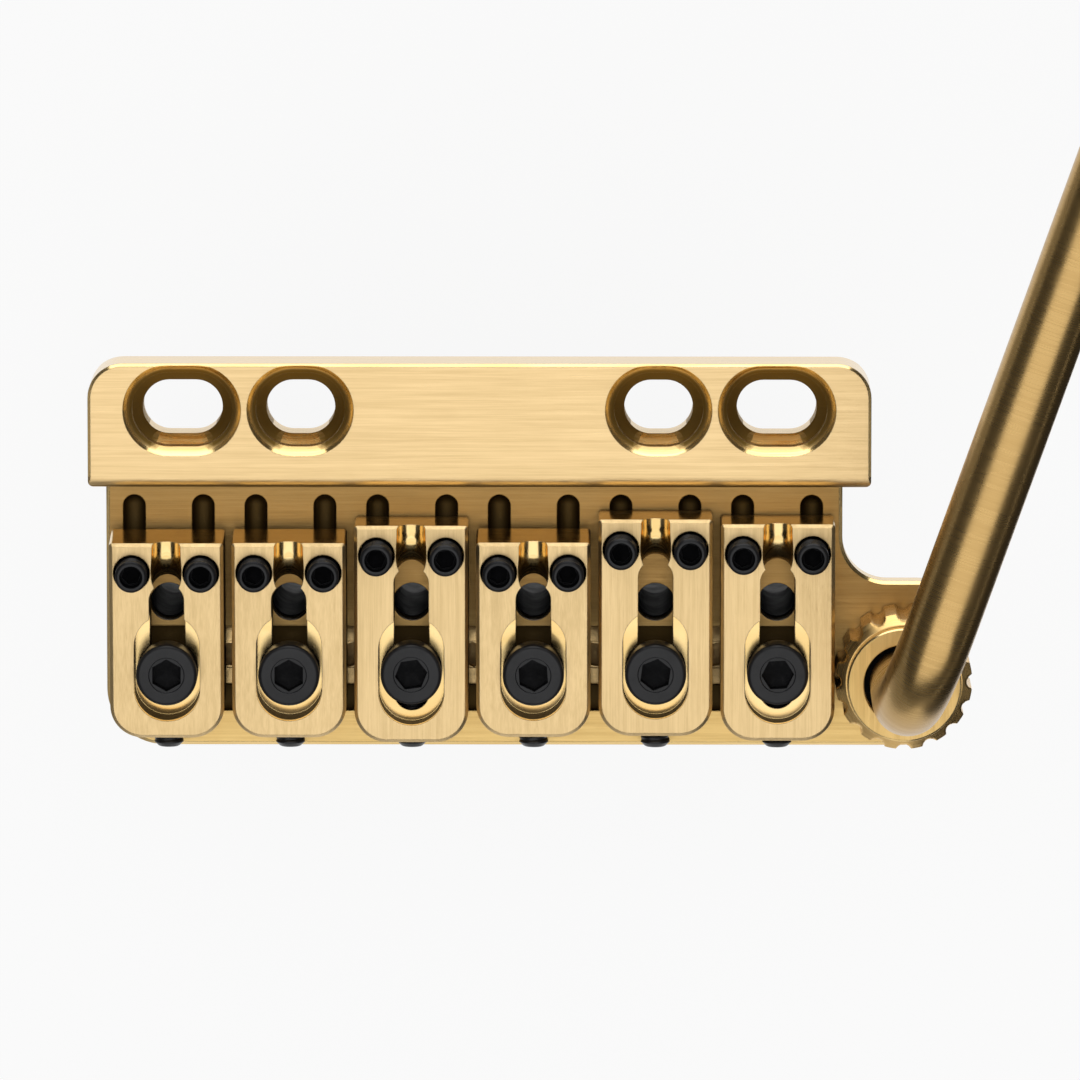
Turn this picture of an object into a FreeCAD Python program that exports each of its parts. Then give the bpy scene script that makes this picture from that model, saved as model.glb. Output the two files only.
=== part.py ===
import FreeCAD, Part
import math
import os

# Frame: X across the strings to the treble side, Y towards the neck, Z up from the guitar's top.
# The origin is the centre of the four mounting slots on the underside of the front plate.

# Strings
string_count = 6
string_pitch = 10.8
string_centre_x = -0.6

# Front plate
plate_width = 69.4
plate_front_y = 4.15
plate_rear_y = -6.94
plate_thickness = 6.2
plate_front_corner = 3.1
plate_rear_corner = 0.6
plate_rear_round = 1.0
plate_front_bevel = 0.8
plate_edge_break = 0.25
plate_left_cheek = 1.34
plate_right_cheek = 2.3
lip_thickness = 1.3
lip_relief = 0.3

# Mounting slots
slot_end_margin = 8.35
slot_pitch = 10.48
slot_width = 4.8
slot_outer_length = 7.1
slot_inner_length = 6.1
slot_seat_width = 6.6
slot_mouth_width = 8.2
slot_wall_depth = 1.2

# Hinge under the lip
hinge_y = -5.0
hinge_z = 2.4
nose_radius = 1.7
nose_clearance = 0.2
nose_side_gap = 0.2
pin_radius = 1.0
pin_length = 7.6
pin_recess = 0.15
bush_radius = 1.35
bush_length = 6.0
running_clearance = 0.03

# Bridge plate
deck_left_x = -33.16
deck_right_x = 32.2
deck_rear_y = -30.3
deck_thickness = 2.4
deck_rear_corner = 5.1
deck_edge_break = 0.3
shoulder_gap = 1.0
shoulder_lap = 1.0
ear_front_y = -15.55
ear_right_x = 42.4
ear_inner_radius = 4.0
ear_front_corner = 3.5
ear_rear_corner = 4.8
channel_front_y = -19.6
channel_rear_y = -27.2
channel_depth = 0.9
channel_end_margin = 0.7
channel_corner = 1.5
groove_width = 2.0
groove_front_y = -7.8
groove_rear_y = -17.1
groove_depth = 1.3
string_hole_y = -17.4
string_hole_radius = 1.7

# Saddles
saddle_width = 10.1
saddle_height = 5.6
saddle_rear_corner = 2.9
saddle_front_corner = 0.3
saddle_edge_break = 0.3
saddle_rest_gap = 0.1
saddle_length_short = 17.7
saddle_length_long = 19.4
saddle_tilt_short = 5.5
saddle_tilt_long = 1.0
saddle_is_long = [False, False, True, False, True, True]
saddle_rear_y = [-28.28, -28.25, -29.08, -28.19, -28.5, -28.92]
pocket_width = 5.8
pocket_start = 1.55
pocket_end = 11.25
pocket_depth = 2.45
passage_width = 3.1
passage_start = 2.5
passage_front_wall = 3.6
groove_tube_radius = 1.35
groove_crest_depth = 0.9
groove_crest_setback = 0.6
groove_bend_radius = 4.35
groove_overrun = 2.0

# Height screws
height_screw_radius = 1.42
height_screw_length = 10.0
height_screw_spread = 6.12
height_screw_setback = 2.65
height_hole_clearance = 0.2
height_tip_radius = 0.8
height_tip_length = 1.15
height_tip_cone = 0.3
height_tip_gap = 0.1
height_hex = 1.5
height_hex_depth = 1.4
screw_edge_break = 0.2

# Lock screws
lock_y = -22.9
lock_shank_radius = 1.42
lock_head_radius = 2.72
lock_head_height = 3.0
lock_head_gap = 0.65
lock_hex = 2.5
lock_hex_depth = 1.5
lock_head_break = 0.3
lock_thread_depth = 5.2

# Intonation screws
intonation_radius = 1.3
intonation_length = 5.7
intonation_rise = 1.68
intonation_hole_clearance = 0.08
intonation_edge_break = 0.4
intonation_tip_gap = 0.05
intonation_hex = 1.3
intonation_hex_depth = 1.2

# Tremolo block
block_left_x = -31.0
block_right_x = 30.0
block_front_y = -10.9
block_rear_y = -25.4
block_height = 37.7
block_front_taper = 1.2
block_rear_taper = 3.0
block_corner = 1.2
block_bore_radius = 1.6
block_ball_radius = 2.7
block_ball_depth = 24.0
spring_hole_count = 5
spring_hole_pitch = 10.8
spring_hole_radius = 1.6
spring_hole_depth = 9.0
spring_hole_y = -14.6

# Block screws
block_screw_y = -22.3
block_screw_radius = 1.5
block_screw_head_radius = 2.7
block_screw_head_height = 1.2
block_screw_length = 10.0
block_screw_sink = 0.1
block_screw_hex = 2.0
block_screw_hex_depth = 0.9

# Arm seat on the ear
arm_x = 37.55
arm_y = -23.55
arm_radius = 3.05
sleeve_radius = 3.55
sleeve_bottom_rise = 0.9
sleeve_top_drop = 1.0
arm_running_clearance = 0.05
seat_radius = 4.2
seat_spigot_radius = 3.0
seat_floor = 0.8
seat_ring_radius = 5.05
seat_ring_height = 1.2
seat_ring_break = 0.15
seat_mouth_radius = 3.6
seat_top_rise = 8.6
seat_screw_radius = 1.5
seat_screw_length = 2.9
seat_screw_head_radius = 2.8
seat_screw_head_height = 1.4
seat_screw_head_break = 0.5
seat_screw_hex = 2.0
seat_screw_hex_depth = 0.8

# Tension wheel
wheel_radius = 6.05
wheel_tooth_count = 16
wheel_valley_depth = 0.5
wheel_valley_radius = 0.65
wheel_gap = 0.15
wheel_clearance = 0.05
wheel_cone_height = 0.9
wheel_cone_width = 0.9

# Arm
arm_bottom_rise = 1.0
arm_bend_start_z = 21.0
arm_bend_radius = 9.0
arm_heading = 19.4
arm_rise = 3.0
arm_first_length = 82.0
arm_second_radius = 40.0
arm_second_bend = 10.0
arm_second_length = 38.0
arm_tip_break = 2.6

# Working values
overrun = 1.0
joined = 0.001
half_share = 0.5
hex_corner_count = 6

V = FreeCAD.Vector
across = V(1, 0, 0)
along = V(0, 1, 0)
up = V(0, 0, 1)
plate_half = plate_width * half_share
slot_outer_x = plate_half - slot_end_margin
slot_inner_x = slot_outer_x - slot_pitch
nose_left_x = plate_left_cheek + nose_side_gap - plate_half
nose_right_x = plate_half - plate_right_cheek - nose_side_gap
shoulder_y = plate_rear_y - shoulder_gap
deck_top = hinge_z + nose_radius
deck_bottom = deck_top - deck_thickness
saddle_base = deck_top + saddle_rest_gap
string_xs = [string_centre_x + (i - (string_count - 1) * half_share) * string_pitch for i in range(string_count)]
gap_xs = [x + string_pitch * half_share for x in string_xs[:-1]]


def level(z):
    # Points of an outline in the plane at height z.
    return lambda a, b: V(a, b, z)


def upright(x):
    # Points of an outline in the plane across the strings at x.
    return lambda a, b: V(x, a, b)


def outline(corners, place):
    # Closed outline through corners of (a, b, radius), each rounded to its own radius.
    starts = []
    middles = []
    ends = []
    for i in range(len(corners)):
        before = place(*corners[i - 1][:2])
        corner = place(*corners[i][:2])
        after = place(*corners[(i + 1) % len(corners)][:2])
        radius = corners[i][2]
        back = (before - corner).normalize()
        forth = (after - corner).normalize()
        half = back.getAngle(forth) * half_share
        reach = radius / math.tan(half)
        inward = (back + forth).normalize()
        centre = corner + inward * (radius / math.sin(half))
        starts.append(corner + back * reach)
        ends.append(corner + forth * reach)
        middles.append(centre - inward * radius)
    edges = []
    for i in range(len(corners)):
        if starts[i].distanceToPoint(ends[i]) > joined:
            edges.append(Part.Arc(starts[i], middles[i], ends[i]).toShape())
        following = starts[(i + 1) % len(corners)]
        if ends[i].distanceToPoint(following) > joined:
            edges.append(Part.makeLine(ends[i], following))
    return Part.Wire(edges)


def prism(corners, place, travel):
    return Part.Face(outline(corners, place)).extrude(travel)


def box_corners(a_low, a_high, b_low, b_high, radius):
    return [(a_low, b_low, radius), (a_high, b_low, radius), (a_high, b_high, radius), (a_low, b_high, radius)]


def slot_wire(x, length, width, z):
    # Round-ended slot along X, centred on the screw line.
    reach = length * half_share
    side = width * half_share
    return outline(box_corners(x - reach, x + reach, -side, side, side), level(z))


def slot_solid(x, length, width, z, height):
    return Part.Face(slot_wire(x, length, width, z)).extrude(up * height)


def rod(radius, start, direction, length):
    return Part.makeCylinder(radius, length, start, direction)


def cone(radius_start, radius_end, start, direction, length):
    return Part.makeCone(radius_start, radius_end, length, start, direction)


def hex_socket(across_flats, start, direction, depth):
    # Hexagonal recess that starts at a screw's end and runs along direction.
    corner_reach = across_flats * half_share / math.cos(math.pi / hex_corner_count)
    side = V(0, 0, 1) if abs(direction.z) < half_share else V(1, 0, 0)
    other = direction.cross(side)
    points = []
    for i in range(hex_corner_count + 1):
        turn = 2 * math.pi * i / hex_corner_count
        points.append(start + side * (corner_reach * math.cos(turn)) + other * (corner_reach * math.sin(turn)))
    return Part.Face(Part.makePolygon(points)).extrude(direction * depth)


def top_edges(shape, z):
    # Rim of the flat top face at height z.
    return [edge for edge in shape.Edges if abs(edge.BoundBox.ZMin - z) < joined]


def save(name, shape):
    shape.exportStep("parts/" + name + ".step")


def build_front_plate():
    plan = [
        (-plate_half, plate_rear_y, plate_rear_corner),
        (plate_half, plate_rear_y, plate_rear_corner),
        (plate_half, plate_front_y, plate_front_corner),
        (-plate_half, plate_front_y, plate_front_corner),
    ]
    plate = prism(plan, level(0), up * plate_thickness)
    plate = plate.makeChamfer(plate_edge_break, top_edges(plate, plate_thickness))
    profile = [
        (plate_rear_y, 0, 0),
        (plate_front_y - plate_front_bevel, 0, 0),
        (plate_front_y, plate_front_bevel, 0),
        (plate_front_y, plate_thickness, 0),
        (plate_rear_y, plate_thickness, plate_rear_round),
    ]
    plate = plate.common(prism(profile, upright(-plate_half), across * plate_width))
    plate = plate.cut(hinge_channel())
    for side in (-1, 1):
        plate = plate.cut(mounting_slot(side * slot_outer_x, slot_outer_length))
        plate = plate.cut(mounting_slot(side * slot_inner_x, slot_inner_length))
    for start, direction in pin_places():
        plate = plate.cut(rod(pin_radius, start - direction * overrun, direction, pin_length))
    return plate


def hinge_channel():
    # Space under the lip for the bridge plate's rounded nose, open below and behind.
    left = nose_left_x - nose_side_gap
    width = nose_right_x + nose_side_gap - left
    radius = nose_radius + nose_clearance
    lip_bottom = plate_thickness - lip_thickness
    channel = rod(radius, V(left, hinge_y, hinge_z), across, width)
    below = [
        (hinge_y + radius, -overrun, 0),
        (hinge_y + radius, hinge_z, 0),
        (hinge_y, hinge_z, 0),
        (hinge_y, lip_bottom, 0),
        (plate_rear_y + lip_relief, lip_bottom, 0),
        (plate_rear_y, lip_bottom + lip_relief, 0),
        (plate_rear_y - overrun, lip_bottom + lip_relief, 0),
        (plate_rear_y - overrun, -overrun, 0),
    ]
    return channel.fuse(prism(below, upright(left), across * width))


def mounting_slot(x, length):
    # Stepped countersunk slot: mouth cone, short wall, seat cone, through slot.
    mouth_depth = (slot_mouth_width - slot_seat_width) * half_share
    seat_depth = (slot_seat_width - slot_width) * half_share
    wall_top = plate_thickness - mouth_depth
    wall_bottom = wall_top - slot_wall_depth
    seat_bottom = wall_bottom - seat_depth
    mouth_length = length + slot_mouth_width - slot_width
    seat_length = length + slot_seat_width - slot_width
    mouth = Part.makeLoft(
        [
            slot_wire(x, seat_length, slot_seat_width, wall_top),
            slot_wire(x, mouth_length, slot_mouth_width, plate_thickness),
        ],
        True,
        True,
    )
    wall = slot_solid(x, seat_length, slot_seat_width, wall_bottom, slot_wall_depth)
    seat = Part.makeLoft(
        [
            slot_wire(x, length, slot_width, seat_bottom),
            slot_wire(x, seat_length, slot_seat_width, wall_bottom),
        ],
        True,
        True,
    )
    through = slot_solid(x, length, slot_width, -overrun, seat_bottom + overrun)
    return mouth.fuse([wall, seat, through])


def pin_places():
    # Outer end and inward direction of each pivot pin.
    return [
        (V(pin_recess - plate_half, hinge_y, hinge_z), across),
        (V(plate_half - pin_recess, hinge_y, hinge_z), across * -1),
    ]


def build_pivot_pins():
    return Part.makeCompound([rod(pin_radius, start, direction, pin_length) for start, direction in pin_places()])


def bush_places():
    return [
        (V(nose_left_x, hinge_y, hinge_z), across),
        (V(nose_right_x, hinge_y, hinge_z), across * -1),
    ]


def build_pivot_bushes():
    bushes = []
    for start, direction in bush_places():
        bush = rod(bush_radius, start, direction, bush_length)
        bushes.append(bush.cut(rod(pin_radius + running_clearance, start, direction, bush_length)))
    return Part.makeCompound(bushes)


def build_bridge_plate():
    plan = [
        (deck_left_x, deck_rear_y, deck_rear_corner),
        (ear_right_x, deck_rear_y, ear_rear_corner),
        (ear_right_x, ear_front_y, ear_front_corner),
        (deck_right_x, ear_front_y, ear_inner_radius),
        (deck_right_x, shoulder_y, 0),
        (deck_left_x, shoulder_y, 0),
    ]
    deck = prism(plan, level(deck_bottom), up * deck_thickness)
    deck = deck.makeChamfer(deck_edge_break, top_edges(deck, deck_top))
    neck = box_corners(nose_left_x, nose_right_x, shoulder_y - shoulder_lap, hinge_y, 0)
    neck = prism(neck, level(deck_bottom), up * deck_thickness)
    neck = neck.makeChamfer(deck_edge_break, top_edges(neck, deck_top))
    nose = rod(nose_radius, V(nose_left_x, hinge_y, hinge_z), across, nose_right_x - nose_left_x)
    deck = deck.fuse([neck, nose]).removeSplitter()
    channel_floor = deck_top - channel_depth
    channel = box_corners(
        deck_left_x + channel_end_margin,
        deck_right_x - channel_end_margin,
        channel_rear_y,
        channel_front_y,
        channel_corner,
    )
    cuts = [prism(channel, level(channel_floor), up * (channel_depth + overrun))]
    for x in string_xs:
        for side in (-1, 1):
            cuts.append(screw_groove(x + side * height_screw_spread * half_share))
        below = deck_bottom - overrun
        through = deck_thickness + 2 * overrun
        cuts.append(rod(string_hole_radius, V(x, string_hole_y, below), up, through))
        cuts.append(rod(lock_shank_radius, V(x, lock_y, below), up, through))
    for x in gap_xs:
        cuts.append(block_screw(x, False))
    for start, direction in bush_places():
        cuts.append(rod(bush_radius, start, direction, bush_length))
        cuts.append(rod(pin_radius + running_clearance, start, direction, pin_length))
    cuts.append(rod(seat_spigot_radius, V(arm_x, arm_y, deck_bottom - overrun), up, deck_thickness + 2 * overrun))
    return deck.cut(cuts)


def screw_groove(x):
    # Round-bottomed groove along the strings, in which a height screw's tip slides.
    side = groove_width * half_share
    waist = deck_top - groove_depth + side
    rear = V(x, groove_rear_y + side, waist)
    front = V(x, groove_front_y - side, waist)
    plan = box_corners(x - side, x + side, groove_rear_y, groove_front_y, side)
    upper = prism(plan, level(waist), up * (groove_depth + overrun))
    lower = rod(side, rear, along, rear.distanceToPoint(front))
    return upper.fuse([lower, Part.makeSphere(side, rear), Part.makeSphere(side, front)])


def block_screw(x, socket):
    # Countersunk screw from the channel floor down into the block.
    head_top = deck_top - channel_depth - block_screw_sink
    head_bottom = head_top - block_screw_head_height
    screw = cone(
        block_screw_radius, block_screw_head_radius, V(x, block_screw_y, head_bottom), up, block_screw_head_height
    )
    shank_length = block_screw_length - block_screw_head_height
    screw = screw.fuse(rod(block_screw_radius, V(x, block_screw_y, head_bottom - shank_length), up, shank_length))
    if socket:
        top = V(x, block_screw_y, head_top)
        return screw.cut(hex_socket(block_screw_hex, top, up * -1, block_screw_hex_depth))
    return screw.fuse(rod(block_screw_head_radius, V(x, block_screw_y, head_top), up, channel_depth))


def build_block():
    block_bottom = deck_bottom - block_height
    profile = [
        (block_rear_y, deck_bottom, 0),
        (block_rear_y + block_rear_taper, block_bottom, block_corner),
        (block_front_y - block_front_taper, block_bottom, block_corner),
        (block_front_y, deck_bottom, 0),
    ]
    block = prism(profile, upright(block_left_x), across * (block_right_x - block_left_x))
    cuts = []
    for x in string_xs:
        cuts.append(rod(block_bore_radius, V(x, string_hole_y, block_bottom - overrun), up, block_height + 2 * overrun))
        cuts.append(rod(block_ball_radius, V(x, string_hole_y, block_bottom - overrun), up, block_ball_depth + overrun))
        cuts.append(rod(lock_shank_radius, V(x, lock_y, deck_bottom - lock_thread_depth), up, lock_thread_depth))
    for x in gap_xs:
        cuts.append(block_screw(x, False))
    spring_centre = (block_left_x + block_right_x) * half_share
    for i in range(spring_hole_count):
        x = spring_centre + (i - (spring_hole_count - 1) * half_share) * spring_hole_pitch
        cuts.append(rod(spring_hole_radius, V(x, spring_hole_y, block_bottom - overrun), up, spring_hole_depth + overrun))
    return block.cut(cuts)


def saddle_size(i):
    if saddle_is_long[i]:
        return saddle_length_long, saddle_tilt_long
    return saddle_length_short, saddle_tilt_short


def seat_on_deck(shape, i):
    # Tilts a saddle's own piece about its rear lower edge and sets it on the bridge plate.
    tilt = saddle_size(i)[1]
    placed = shape.copy()
    placed.rotate(V(0, 0, 0), across, tilt)
    placed.translate(V(string_xs[i], saddle_rear_y[i], saddle_base))
    return placed


def string_groove(length):
    # Round groove from the front face over the crest and down into the string passage.
    centre_z = saddle_height - groove_crest_depth + groove_tube_radius
    crest_y = length - groove_crest_setback
    mouth = V(0, length + groove_overrun, centre_z)
    crest = V(0, crest_y, centre_z)
    middle_turn = math.radians(45)
    middle = V(
        0,
        crest_y - groove_bend_radius * math.sin(middle_turn),
        centre_z - groove_bend_radius + groove_bend_radius * math.cos(middle_turn),
    )
    low = V(0, crest_y - groove_bend_radius, centre_z - groove_bend_radius)
    path = Part.Wire(
        [
            Part.makeLine(mouth, crest),
            Part.Arc(crest, middle, low).toShape(),
            Part.makeLine(low, low - up * saddle_height),
        ]
    )
    ring = Part.Wire([Part.makeCircle(groove_tube_radius, mouth, along)])
    return path.makePipeShell([ring], True, False)


def build_saddle(i):
    length = saddle_size(i)[0]
    side = saddle_width * half_share
    plan = [
        (-side, 0, saddle_rear_corner),
        (side, 0, saddle_rear_corner),
        (side, length, saddle_front_corner),
        (-side, length, saddle_front_corner),
    ]
    body = prism(plan, level(0), up * saddle_height)
    body = body.makeChamfer(saddle_edge_break, top_edges(body, saddle_height))
    pocket_side = pocket_width * half_share
    pocket = box_corners(-pocket_side, pocket_side, pocket_start, pocket_end, pocket_side)
    passage_side = passage_width * half_share
    passage_end = length - passage_front_wall
    passage = box_corners(-passage_side, passage_side, passage_start, passage_end, passage_side)
    cuts = [
        prism(pocket, level(saddle_height - pocket_depth), up * (pocket_depth + overrun)),
        prism(passage, level(-overrun), up * (saddle_height + 2 * overrun)),
        string_groove(length),
    ]
    hole_radius = height_screw_radius + height_hole_clearance
    for sign in (-1, 1):
        foot = V(sign * height_screw_spread * half_share, length - height_screw_setback, -overrun)
        cuts.append(rod(hole_radius, foot, up, saddle_height + 2 * overrun))
    saddle = seat_on_deck(body.cut(cuts), i)
    start = V(string_xs[i], saddle_rear_y[i] - saddle_height, saddle_base + intonation_rise)
    reach = saddle_height + pocket_start + passage_start
    return saddle.cut(rod(intonation_radius + intonation_hole_clearance, start, along, reach))


def build_height_screws(i):
    length, tilt = saddle_size(i)
    y = length - height_screw_setback
    turn = math.radians(tilt)
    tip_level = deck_top - groove_depth + height_tip_gap
    tip_z = (tip_level - saddle_base - y * math.sin(turn)) / math.cos(turn)
    cone_z = tip_z + height_tip_length
    shank_z = cone_z + height_tip_cone
    top_z = tip_z + height_screw_length
    screws = []
    for sign in (-1, 1):
        x = sign * height_screw_spread * half_share
        ball = V(x, y, tip_z + height_tip_radius)
        screw = Part.makeSphere(height_tip_radius, ball)
        tip = rod(height_tip_radius, ball, up, height_tip_length - height_tip_radius)
        taper = cone(height_tip_radius, height_screw_radius, V(x, y, cone_z), up, height_tip_cone)
        shank = rod(height_screw_radius, V(x, y, shank_z), up, top_z - screw_edge_break - shank_z)
        crown = cone(
            height_screw_radius,
            height_screw_radius - screw_edge_break,
            V(x, y, top_z - screw_edge_break),
            up,
            screw_edge_break,
        )
        screw = screw.fuse([tip, taper, shank, crown]).removeSplitter()
        screws.append(screw.cut(hex_socket(height_hex, V(x, y, top_z), up * -1, height_hex_depth)))
    return seat_on_deck(Part.makeCompound(screws), i)


def build_intonation_screw(i):
    tip = V(string_xs[i], lock_y - lock_shank_radius - intonation_tip_gap, saddle_base + intonation_rise)
    back = along * -1
    shank_length = intonation_length - 2 * intonation_edge_break
    small = intonation_radius - intonation_edge_break
    screw = cone(small, intonation_radius, tip, back, intonation_edge_break)
    shank = rod(intonation_radius, tip + back * intonation_edge_break, back, shank_length)
    tail_start = tip + back * (intonation_length - intonation_edge_break)
    tail = cone(intonation_radius, small, tail_start, back, intonation_edge_break)
    screw = screw.fuse([shank, tail]).removeSplitter()
    return screw.cut(hex_socket(intonation_hex, tip + back * intonation_length, along, intonation_hex_depth))


def build_lock_screws():
    screws = []
    for i in range(string_count):
        tilt = math.radians(saddle_size(i)[1])
        front_edge = lock_y + lock_head_radius - saddle_rear_y[i]
        ledge = saddle_height - pocket_depth
        head_bottom = saddle_base + front_edge * math.sin(tilt) + ledge * math.cos(tilt) + lock_head_gap
        foot = V(string_xs[i], lock_y, deck_bottom - lock_thread_depth)
        shank = rod(lock_shank_radius, foot, up, head_bottom - foot.z)
        base = V(string_xs[i], lock_y, head_bottom)
        straight = lock_head_height - lock_head_break
        head = rod(lock_head_radius, base, up, straight)
        rim = cone(lock_head_radius, lock_head_radius - lock_head_break, base + up * straight, up, lock_head_break)
        screw = shank.fuse([head, rim]).removeSplitter()
        screws.append(screw.cut(hex_socket(lock_hex, base + up * lock_head_height, up * -1, lock_hex_depth)))
    return Part.makeCompound(screws)


def build_block_screws():
    return Part.makeCompound([block_screw(x, True) for x in gap_xs])


def build_arm_seat():
    base = V(arm_x, arm_y, deck_top)
    top = base + up * seat_top_rise
    ring_bottom = top - up * seat_ring_height
    spigot = rod(seat_spigot_radius, V(arm_x, arm_y, deck_bottom), up, deck_thickness)
    barrel = rod(seat_radius, base, up, seat_top_rise - seat_ring_height)
    ring = rod(seat_ring_radius, ring_bottom, up, seat_ring_height - seat_ring_break)
    rim_start = top - up * seat_ring_break
    rim = cone(seat_ring_radius, seat_ring_radius - seat_ring_break, rim_start, up, seat_ring_break)
    seat = spigot.fuse([barrel, ring, rim]).removeSplitter()
    well = rod(sleeve_radius, base + up * seat_floor, up, seat_top_rise)
    mouth = rod(seat_mouth_radius, top - up * sleeve_top_drop, up, seat_top_rise)
    thread = rod(seat_screw_radius, V(arm_x, arm_y, deck_bottom), up, seat_screw_length)
    return seat.cut([well, mouth, thread])


def build_arm_sleeve():
    start = V(arm_x, arm_y, deck_top + sleeve_bottom_rise)
    height = seat_top_rise - sleeve_top_drop - sleeve_bottom_rise
    sleeve = rod(sleeve_radius, start, up, height)
    return sleeve.cut(rod(arm_radius + arm_running_clearance, start, up, height))


def build_arm_seat_screw():
    head_top = V(arm_x, arm_y, deck_bottom)
    head_bottom = head_top - up * seat_screw_head_height
    straight = seat_screw_head_height - seat_screw_head_break
    head = rod(seat_screw_head_radius, head_top, up * -1, straight)
    dome = cone(
        seat_screw_head_radius,
        seat_screw_head_radius - seat_screw_head_break,
        head_top - up * straight,
        up * -1,
        seat_screw_head_break,
    )
    screw = rod(seat_screw_radius, head_top, up, seat_screw_length).fuse([head, dome]).removeSplitter()
    return screw.cut(hex_socket(seat_screw_hex, head_bottom, up, seat_screw_hex_depth))


def build_tension_wheel():
    bottom = V(arm_x, arm_y, deck_top + wheel_gap)
    height = seat_top_rise - seat_ring_height - 2 * wheel_gap
    straight = height - wheel_cone_height
    wheel = rod(wheel_radius, bottom, up, straight)
    crown = cone(wheel_radius, wheel_radius - wheel_cone_width, bottom + up * straight, up, wheel_cone_height)
    wheel = wheel.fuse(crown).removeSplitter()
    cuts = [rod(seat_radius + wheel_clearance, bottom, up, height)]
    reach = wheel_radius + wheel_valley_radius - wheel_valley_depth
    for i in range(wheel_tooth_count):
        turn = 2 * math.pi * i / wheel_tooth_count
        centre = bottom + V(reach * math.cos(turn), reach * math.sin(turn), 0)
        cuts.append(rod(wheel_valley_radius, centre, up, height))
    return wheel.cut(cuts)


def build_arm():
    # Upright shank, main bend, long straight, gentle second bend, end piece with a rounded tip.
    heading = math.radians(arm_heading)
    rise = math.radians(arm_rise)
    level_way = V(math.sin(heading), math.cos(heading), 0)
    foot = V(arm_x, arm_y, deck_top + arm_bottom_rise)
    bend = V(arm_x, arm_y, arm_bend_start_z)
    centre = bend + level_way * arm_bend_radius

    def on_bend(turn):
        return centre - level_way * (arm_bend_radius * math.cos(turn)) + up * (arm_bend_radius * math.sin(turn))

    full_turn = math.pi * half_share - rise
    first_start = on_bend(full_turn)
    first_way = level_way * math.cos(rise) + up * math.sin(rise)
    first_end = first_start + first_way * arm_first_length
    down_way = level_way * math.sin(rise) - up * math.cos(rise)
    second_centre = first_end + down_way * arm_second_radius

    def on_second(turn):
        out = first_way * math.sin(turn) - down_way * math.cos(turn)
        return second_centre + out * arm_second_radius

    second_turn = math.radians(arm_second_bend)
    second_start = on_second(second_turn)
    second_way = first_way * math.cos(second_turn) + down_way * math.sin(second_turn)
    tip = second_start + second_way * arm_second_length
    path = Part.Wire(
        [
            Part.makeLine(foot, bend),
            Part.Arc(bend, on_bend(full_turn * half_share), first_start).toShape(),
            Part.makeLine(first_start, first_end),
            Part.Arc(first_end, on_second(second_turn * half_share), second_start).toShape(),
            Part.makeLine(second_start, tip),
        ]
    )
    ring = Part.Wire([Part.makeCircle(arm_radius, foot, up)])
    arm = path.makePipeShell([ring], True, False)
    ends = [edge for edge in arm.Edges if edge.CenterOfMass.distanceToPoint(tip) < joined]
    return arm.makeFillet(arm_tip_break, ends)


os.makedirs("parts", exist_ok=True)
save("front_plate", build_front_plate())
save("pivot_pins", build_pivot_pins())
save("pivot_bushes", build_pivot_bushes())
save("bridge_plate", build_bridge_plate())
save("tremolo_block", build_block())
save("block_screws", build_block_screws())
save("lock_screws", build_lock_screws())
for number in range(string_count):
    tag = str(number + 1)
    save("saddle_" + tag, build_saddle(number))
    save("height_screws_" + tag, build_height_screws(number))
    save("intonation_screw_" + tag, build_intonation_screw(number))
save("arm_seat", build_arm_seat())
save("arm_sleeve", build_arm_sleeve())
save("arm_seat_screw", build_arm_seat_screw())
save("tension_wheel", build_tension_wheel())
save("tremolo_arm", build_arm())
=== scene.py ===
"""Looks of the guitar tremolo bridge: satin gold plates and saddles, black screws, a brushed arm, on a pale table."""

from __future__ import annotations

import logging
import math
from dataclasses import dataclass, field, replace
from enum import Enum

import bpy
import numpy as np
from mathutils import Matrix, Vector

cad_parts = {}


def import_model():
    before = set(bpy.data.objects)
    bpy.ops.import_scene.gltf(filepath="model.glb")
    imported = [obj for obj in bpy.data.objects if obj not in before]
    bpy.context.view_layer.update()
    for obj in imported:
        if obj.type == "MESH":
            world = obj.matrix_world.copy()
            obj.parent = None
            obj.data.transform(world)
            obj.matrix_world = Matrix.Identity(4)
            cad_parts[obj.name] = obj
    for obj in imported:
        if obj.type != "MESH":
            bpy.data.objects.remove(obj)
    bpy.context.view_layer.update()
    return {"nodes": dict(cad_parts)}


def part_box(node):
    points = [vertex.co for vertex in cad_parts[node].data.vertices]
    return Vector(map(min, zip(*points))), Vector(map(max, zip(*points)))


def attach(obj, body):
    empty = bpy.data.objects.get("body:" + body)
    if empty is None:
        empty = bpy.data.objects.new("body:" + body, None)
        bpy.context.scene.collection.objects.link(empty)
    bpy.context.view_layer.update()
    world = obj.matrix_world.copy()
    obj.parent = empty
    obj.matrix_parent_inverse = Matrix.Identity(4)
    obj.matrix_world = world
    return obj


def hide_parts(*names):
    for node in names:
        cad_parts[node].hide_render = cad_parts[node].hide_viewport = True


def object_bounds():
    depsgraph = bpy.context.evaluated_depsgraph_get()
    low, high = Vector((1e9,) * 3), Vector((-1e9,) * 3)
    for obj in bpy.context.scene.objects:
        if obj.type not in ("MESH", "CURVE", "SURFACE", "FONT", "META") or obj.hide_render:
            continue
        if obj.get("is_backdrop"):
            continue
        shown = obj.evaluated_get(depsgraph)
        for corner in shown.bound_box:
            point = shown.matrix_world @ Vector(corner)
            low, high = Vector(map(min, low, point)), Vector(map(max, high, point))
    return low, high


LOG = logging.getLogger("tremolo_bridge")
MM = 0.001
FULL_TURN = 2.0 * math.pi
QUARTER_TURN = math.pi / 2.0
SIXTH_TURN = math.pi / 3.0
UP = np.array([0.0, 0.0, 1.0])
BACK = np.array([0.0, -1.0, 0.0])
VALUE = "NodeSocketFloat"
PLACE = "NodeSocketVector"
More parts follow.
